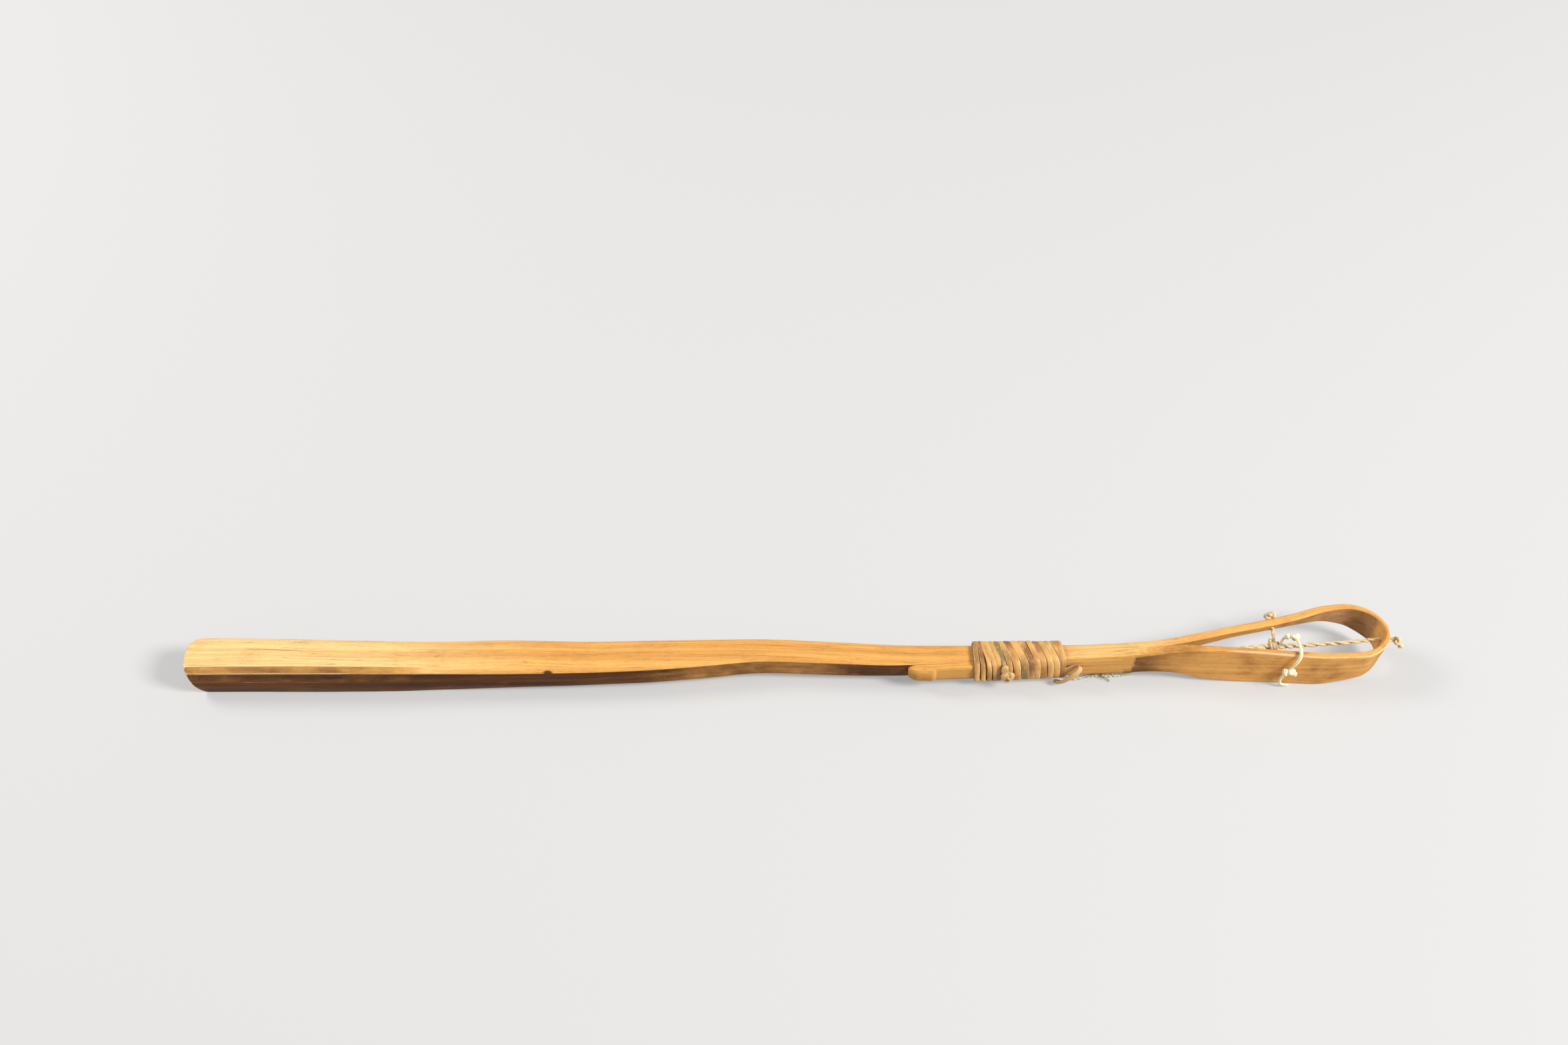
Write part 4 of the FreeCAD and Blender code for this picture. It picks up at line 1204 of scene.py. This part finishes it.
def wrapRound(name, line, along, turns, radius, strand):
    # a strand wound round the long cord's line, centred at a place along
    centreX = place(along, 0, 0).x
    nearest = min(range(len(line)), key=lambda spot: abs(line[spot].x - centreX))
    axis = (line[nearest + 3] - line[nearest - 3]).normalized()
    out = (Vector((0, 0, 1)) - axis * axis.z).normalized()
    across = axis.cross(out)
    places = []
    count = 110
    for step in range(count):
        share = step / (count - 1)
        angle = math.tau * turns * share + 0.6
        drift = (share - 0.5) * turns * strand * 1.9
        drift += 0.0004 * noise.noise(Vector((share * 7, 2.2, 0)))
        wide = radius * (1 + 0.12 * noise.noise(Vector((share * 9, 0, 4.4))))
        places.append(line[nearest] + axis * drift
                      + (out * math.cos(angle) + across * math.sin(angle)) * wide)
    return sweep(name, places, carriedNormals(places, out),
                 lambda spot, share: oval(strand, strand, 9))


def makeLongCord(twisted):
    # the cup's lengthwise cord, with its knot outside the tip
    line = cordLine("longCord", 0.0006)
    longCord = twistedPlies("longCord", line, radius=0.00070, offset=0.00052, pitch=0.0125,
                            own=1.3, swell=0.3)
    knot = knotOf("longCordKnot")
    hairs = strayFibres("longCordFibres", line, count=26, reach=0.0034, seed=11)
    for piece in (longCord, knot, hairs):
        finished(piece, twisted, "long_cord")
    lineLength(line)
    return line


def makeCrossCord(twisted, longLine):
    # the cord across the cup, its knot outside the arm and its wraps round the long cord
    line = cordLine("crossCord", 0.0005)
    crossCord = twistedPlies("crossCord", line, radius=0.00058, offset=0.00046, pitch=0.0062,
                             own=5.9)
    knot = knotOf("crossCordKnot")
    wraps = wrapRound("crossCordWraps", longLine, along=589.3, turns=3.4, radius=0.00195,
                      strand=0.00078)
    hairs = strayFibres("crossCordFibres", line, count=12, reach=0.0034, seed=23)
    for piece in (crossCord, knot, wraps, hairs):
        finished(piece, twisted, "cross_cord")


def makeLace(smooth):
    # the lace over the near wall, its end drawn thin
    line = cordLine("lace", 0.0006)

    def outline(spot, share):
        wide = 0.0009 * (1 - 0.25 * between(0.93, 1, share))
        return oval(wide, wide * 0.82, 14)
    lace = sweep("whiteLace", line, carriedNormals(line, Vector((1, 0, 0.2))), outline)
    knots = [knotOf("laceUpperKnot"), knotOf("laceWallKnot")]
    for piece in (lace, *knots):
        finished(piece, smooth, "white_lace")
    lineLength(line)


def makeTwine(frayed):
    # the loose twine on the floor, frayed half way along, with a spare end at its knot
    line = cordLine("twine", 0.0004)
    twine = twistedPlies("looseTwine", line, radius=0.00036, offset=0.00027, pitch=0.0048,
                         own=7.7, sides=8, swell=0.45)
    spare = [place(499.0 + 0.45 * step, -1.6 - 0.62 * step, 1.3 - 0.1 * step)
             for step in range(6)]
    knot = joinAs("twineKnot", [knotOf("twineKnot"), sweep(
        "spareEnd", spare, carriedNormals(spare, Vector((0, 0, 1))),
        lambda spot, share: oval(0.00055, 0.00044, 8))])
    middle = len(line) // 2
    hairs = strayFibres("twineFibres", line[middle - 10:middle + 14], count=40, reach=0.0046,
                        seed=31)
    for piece in (twine, knot, hairs):
        finished(piece, frayed, "loose_twine")
    lineLength(line)


thong = {
    "start": 424.4,
    "turnWidths": [2.8, 2.9, 2.5, 2.6, 2.6, 2.35, 2.8, 3.2, 4.3, 4.6, 3.1, 3.3, 3.5, 3.3, 3.5,
                   3.6],
    "turnYaws": [-5, -3, 3, 8, 11, 10, 9, 12, 14, 15, 14, 11, 13, 14, 15, 10],
    # along, near side, far side, bottom and top of the wood inside it
    "wood": [(420.0, -7.6, 10.2, 4.4, 15.5), (482.0, -3.2, 8.6, 4.0, 18.0)],
    "corners": {"near": 4.4, "far": 2.8, "below": 2.6},
    "clearance": 0.72,
    "thick": 0.95,
    "placesInTurn": 56,
    "turnFrom": 0.04,   # share of the way round at which one turn gives way to the next
    "overlap": 1.06,
    # the unevenness of the hide: how much, and how quickly it changes
    "lifts": (0.22, 0.05), "wanders": (0.38, 0.045), "widens": (0.22, 0.06), "dips": (0.16, 0.09),
    # the strap's section, as shares of half its width and of its thickness, and which way each
    # point dips
    "section": [(-1, 0, 0), (-0.96, 0.45, 0), (-0.80, 0.85, 0), (-0.3, 1.0, 1), (0.3, 1.02, -1),
                (0.80, 0.92, 0), (0.96, 0.5, 0), (1, 0, 0), (0.9, -0.7, 0), (-0.9, -0.7, 0)],
    # half the width and half the thickness of each fold of the knot, and the knot's heart
    "knotFolds": [(2.1, 1.0), (1.7, 1.0), (1.7, 1.0), (1.5, 1.0), (1.0, 0.7), (2.2, 1.5)],
    "knotHeart": (444.4, -5.5, 11.0),
    # the free end: which way its broad side stands, its width, thickness and section
    "tailStands": (-0.62, -0.12, 0.77), "tailWide": 4.0, "tailThick": 0.38,
    "tailSection": [(-1, 0), (-0.8, 0.8), (0, 1), (0.8, 0.8), (1, 0), (0.7, -0.8), (-0.7, -0.8)],
}


def woodInside(along):
    # near side, far side, bottom and top of the bound wood
    back, front = thong["wood"]
    share = (along - back[0]) / (front[0] - back[0])
    return [start + share * (end - start) for start, end in zip(back[1:], front[1:])]


def loopPlace(along, skin, share):
    # the place at a share of the way round the bound wood, and the direction out of it
    near, far, bottom, top = woodInside(along)
    near, far, bottom, top = near - skin, far + skin, bottom - skin, top + skin
    corners = thong["corners"]
    spots = []
    for side, up, start in ((near, bottom, 180), (far, bottom, 270), (far, top, 0),
                            (near, top, 90)):
        corner = corners["below" if up == bottom else "near" if side == near else "far"]
        inside = Vector((0, side + (corner if side == near else -corner),
                         up + (corner if up == bottom else -corner)))
        for bend in range(0, 91, 15):
            angle = math.radians(start + bend)
            out = Vector((0, math.cos(angle), math.sin(angle)))
            spots.append((inside + out * corner, out))
    gaps = [(spots[(spot + 1) % len(spots)][0] - spots[spot][0]).length
            for spot in range(len(spots))]
    target = share * sum(gaps)
    spot = 0
    while target > gaps[spot] and spot < len(spots) - 1:
        target -= gaps[spot]
        spot += 1
    (here, outHere), (there, outThere) = spots[spot], spots[(spot + 1) % len(spots)]
    part = target / gaps[spot]
    return here.lerp(there, part), outHere.lerp(outThere, part).normalized()


def uneven(kind, step, row, column):
    # one number of the hide's unevenness at a step along the strap
    size, change = thong[kind]
    return size * noise.noise(Vector((step * change, row, column)))


def makeStrap(hide):
    # the strap wound round shaft and limb, one turn after another
    widths, yaws = thong["turnWidths"], thong["turnYaws"]
    edges = [thong["start"]]
    for width in widths:
        edges.append(edges[-1] + width)
    centres = [(low + high) / 2 for low, high in zip(edges, edges[1:])]
    each = thong["placesInTurn"]
    places, normals, halves = [], [], []
    for step in range(each // 4, len(widths) * each):
        turn, share = divmod(step, each)
        share /= each
        following = min(turn + 1, len(widths) - 1)
        mixed = between(0, 1, share)
        along, width, yaw = (row[turn] + (row[following] - row[turn]) * mixed
                             for row in (centres, widths, yaws))
        skin = thong["clearance"] + uneven("lifts", step, 0, 1.7)
        spot, out = loopPlace(along, skin, (share + thong["turnFrom"]) % 1)
        along -= (spot.y - 1.0) * math.tan(math.radians(yaw))
        along += uneven("wanders", step, 4.0, 0)
        places.append(place(along, spot.y, spot.z))
        normals.append(out)
        width *= 1 + uneven("widens", step, 8.0, 0)
        halves.append(width / 2000 * thong["overlap"])

    def outline(spot, share):
        thick = thong["thick"] / 1000
        dip = uneven("dips", spot, 6.0, 0)
        return [(halves[spot] * aside, thick * (out + dip * dips))
                for aside, out, dips in thong["section"]]
    strap = sweep("woundThong", places, normals, outline)
    finished(strap, hide, "lashing_thong", levels=1)


def makeKnot(paleHide):
    # the folded knot that stands on the near face
    folds = []
    for number, (half, thick) in enumerate(thong["knotFolds"]):
        line = cordLine(f"knotFold{number}", 0.0003)
        facing = [(spot - place(*thong["knotHeart"])).normalized() for spot in line]

        def outline(spot, share, half=half, thick=thick):
            full = 0.62 + 0.38 * math.sin(math.pi * share)
            return oval(half * full / 1000, thick / 1000, 14)
        folds.append(sweep("fold", line, facing, outline, tone=1.7 * number))
    finished(joinAs("thongKnot", folds), paleHide, "lashing_thong", levels=1)


def makeTail(paleHide):
    # the free end, a ribbon folded over on itself, its broad side standing up
    line = cordLine("thongTail", 0.0005)
    wide = Vector(thong["tailStands"]).normalized()
    facing = [wide.cross(tangentAt(line, spot)).normalized() for spot in range(len(line))]

    def outline(spot, share):
        half = thong["tailWide"] / 2000 * (1 - 0.45 * between(0.55, 0.9, share))
        return [(half * aside, thong["tailThick"] / 1000 * out)
                for aside, out in thong["tailSection"]]
    tail = sweep("thongTail", line, facing, outline, tone=2.3)
    finished(tail, paleHide, "lashing_thong", levels=1)


setStage()
finished(makeBillet(), hickoryFinish(), "stick")
makeStrap(rawhideFinish("rawhide", 0))
paleHide = rawhideFinish("paleRawhide", 0.55)
makeKnot(paleHide)
makeTail(paleHide)
print("thong wound")
twistedYarn = cordFinish("twistedCord")
longLine = makeLongCord(twistedYarn)
makeCrossCord(twistedYarn, longLine)
makeLace(cordFinish("lace"))
makeTwine(cordFinish("twine"))
print("cords laid")
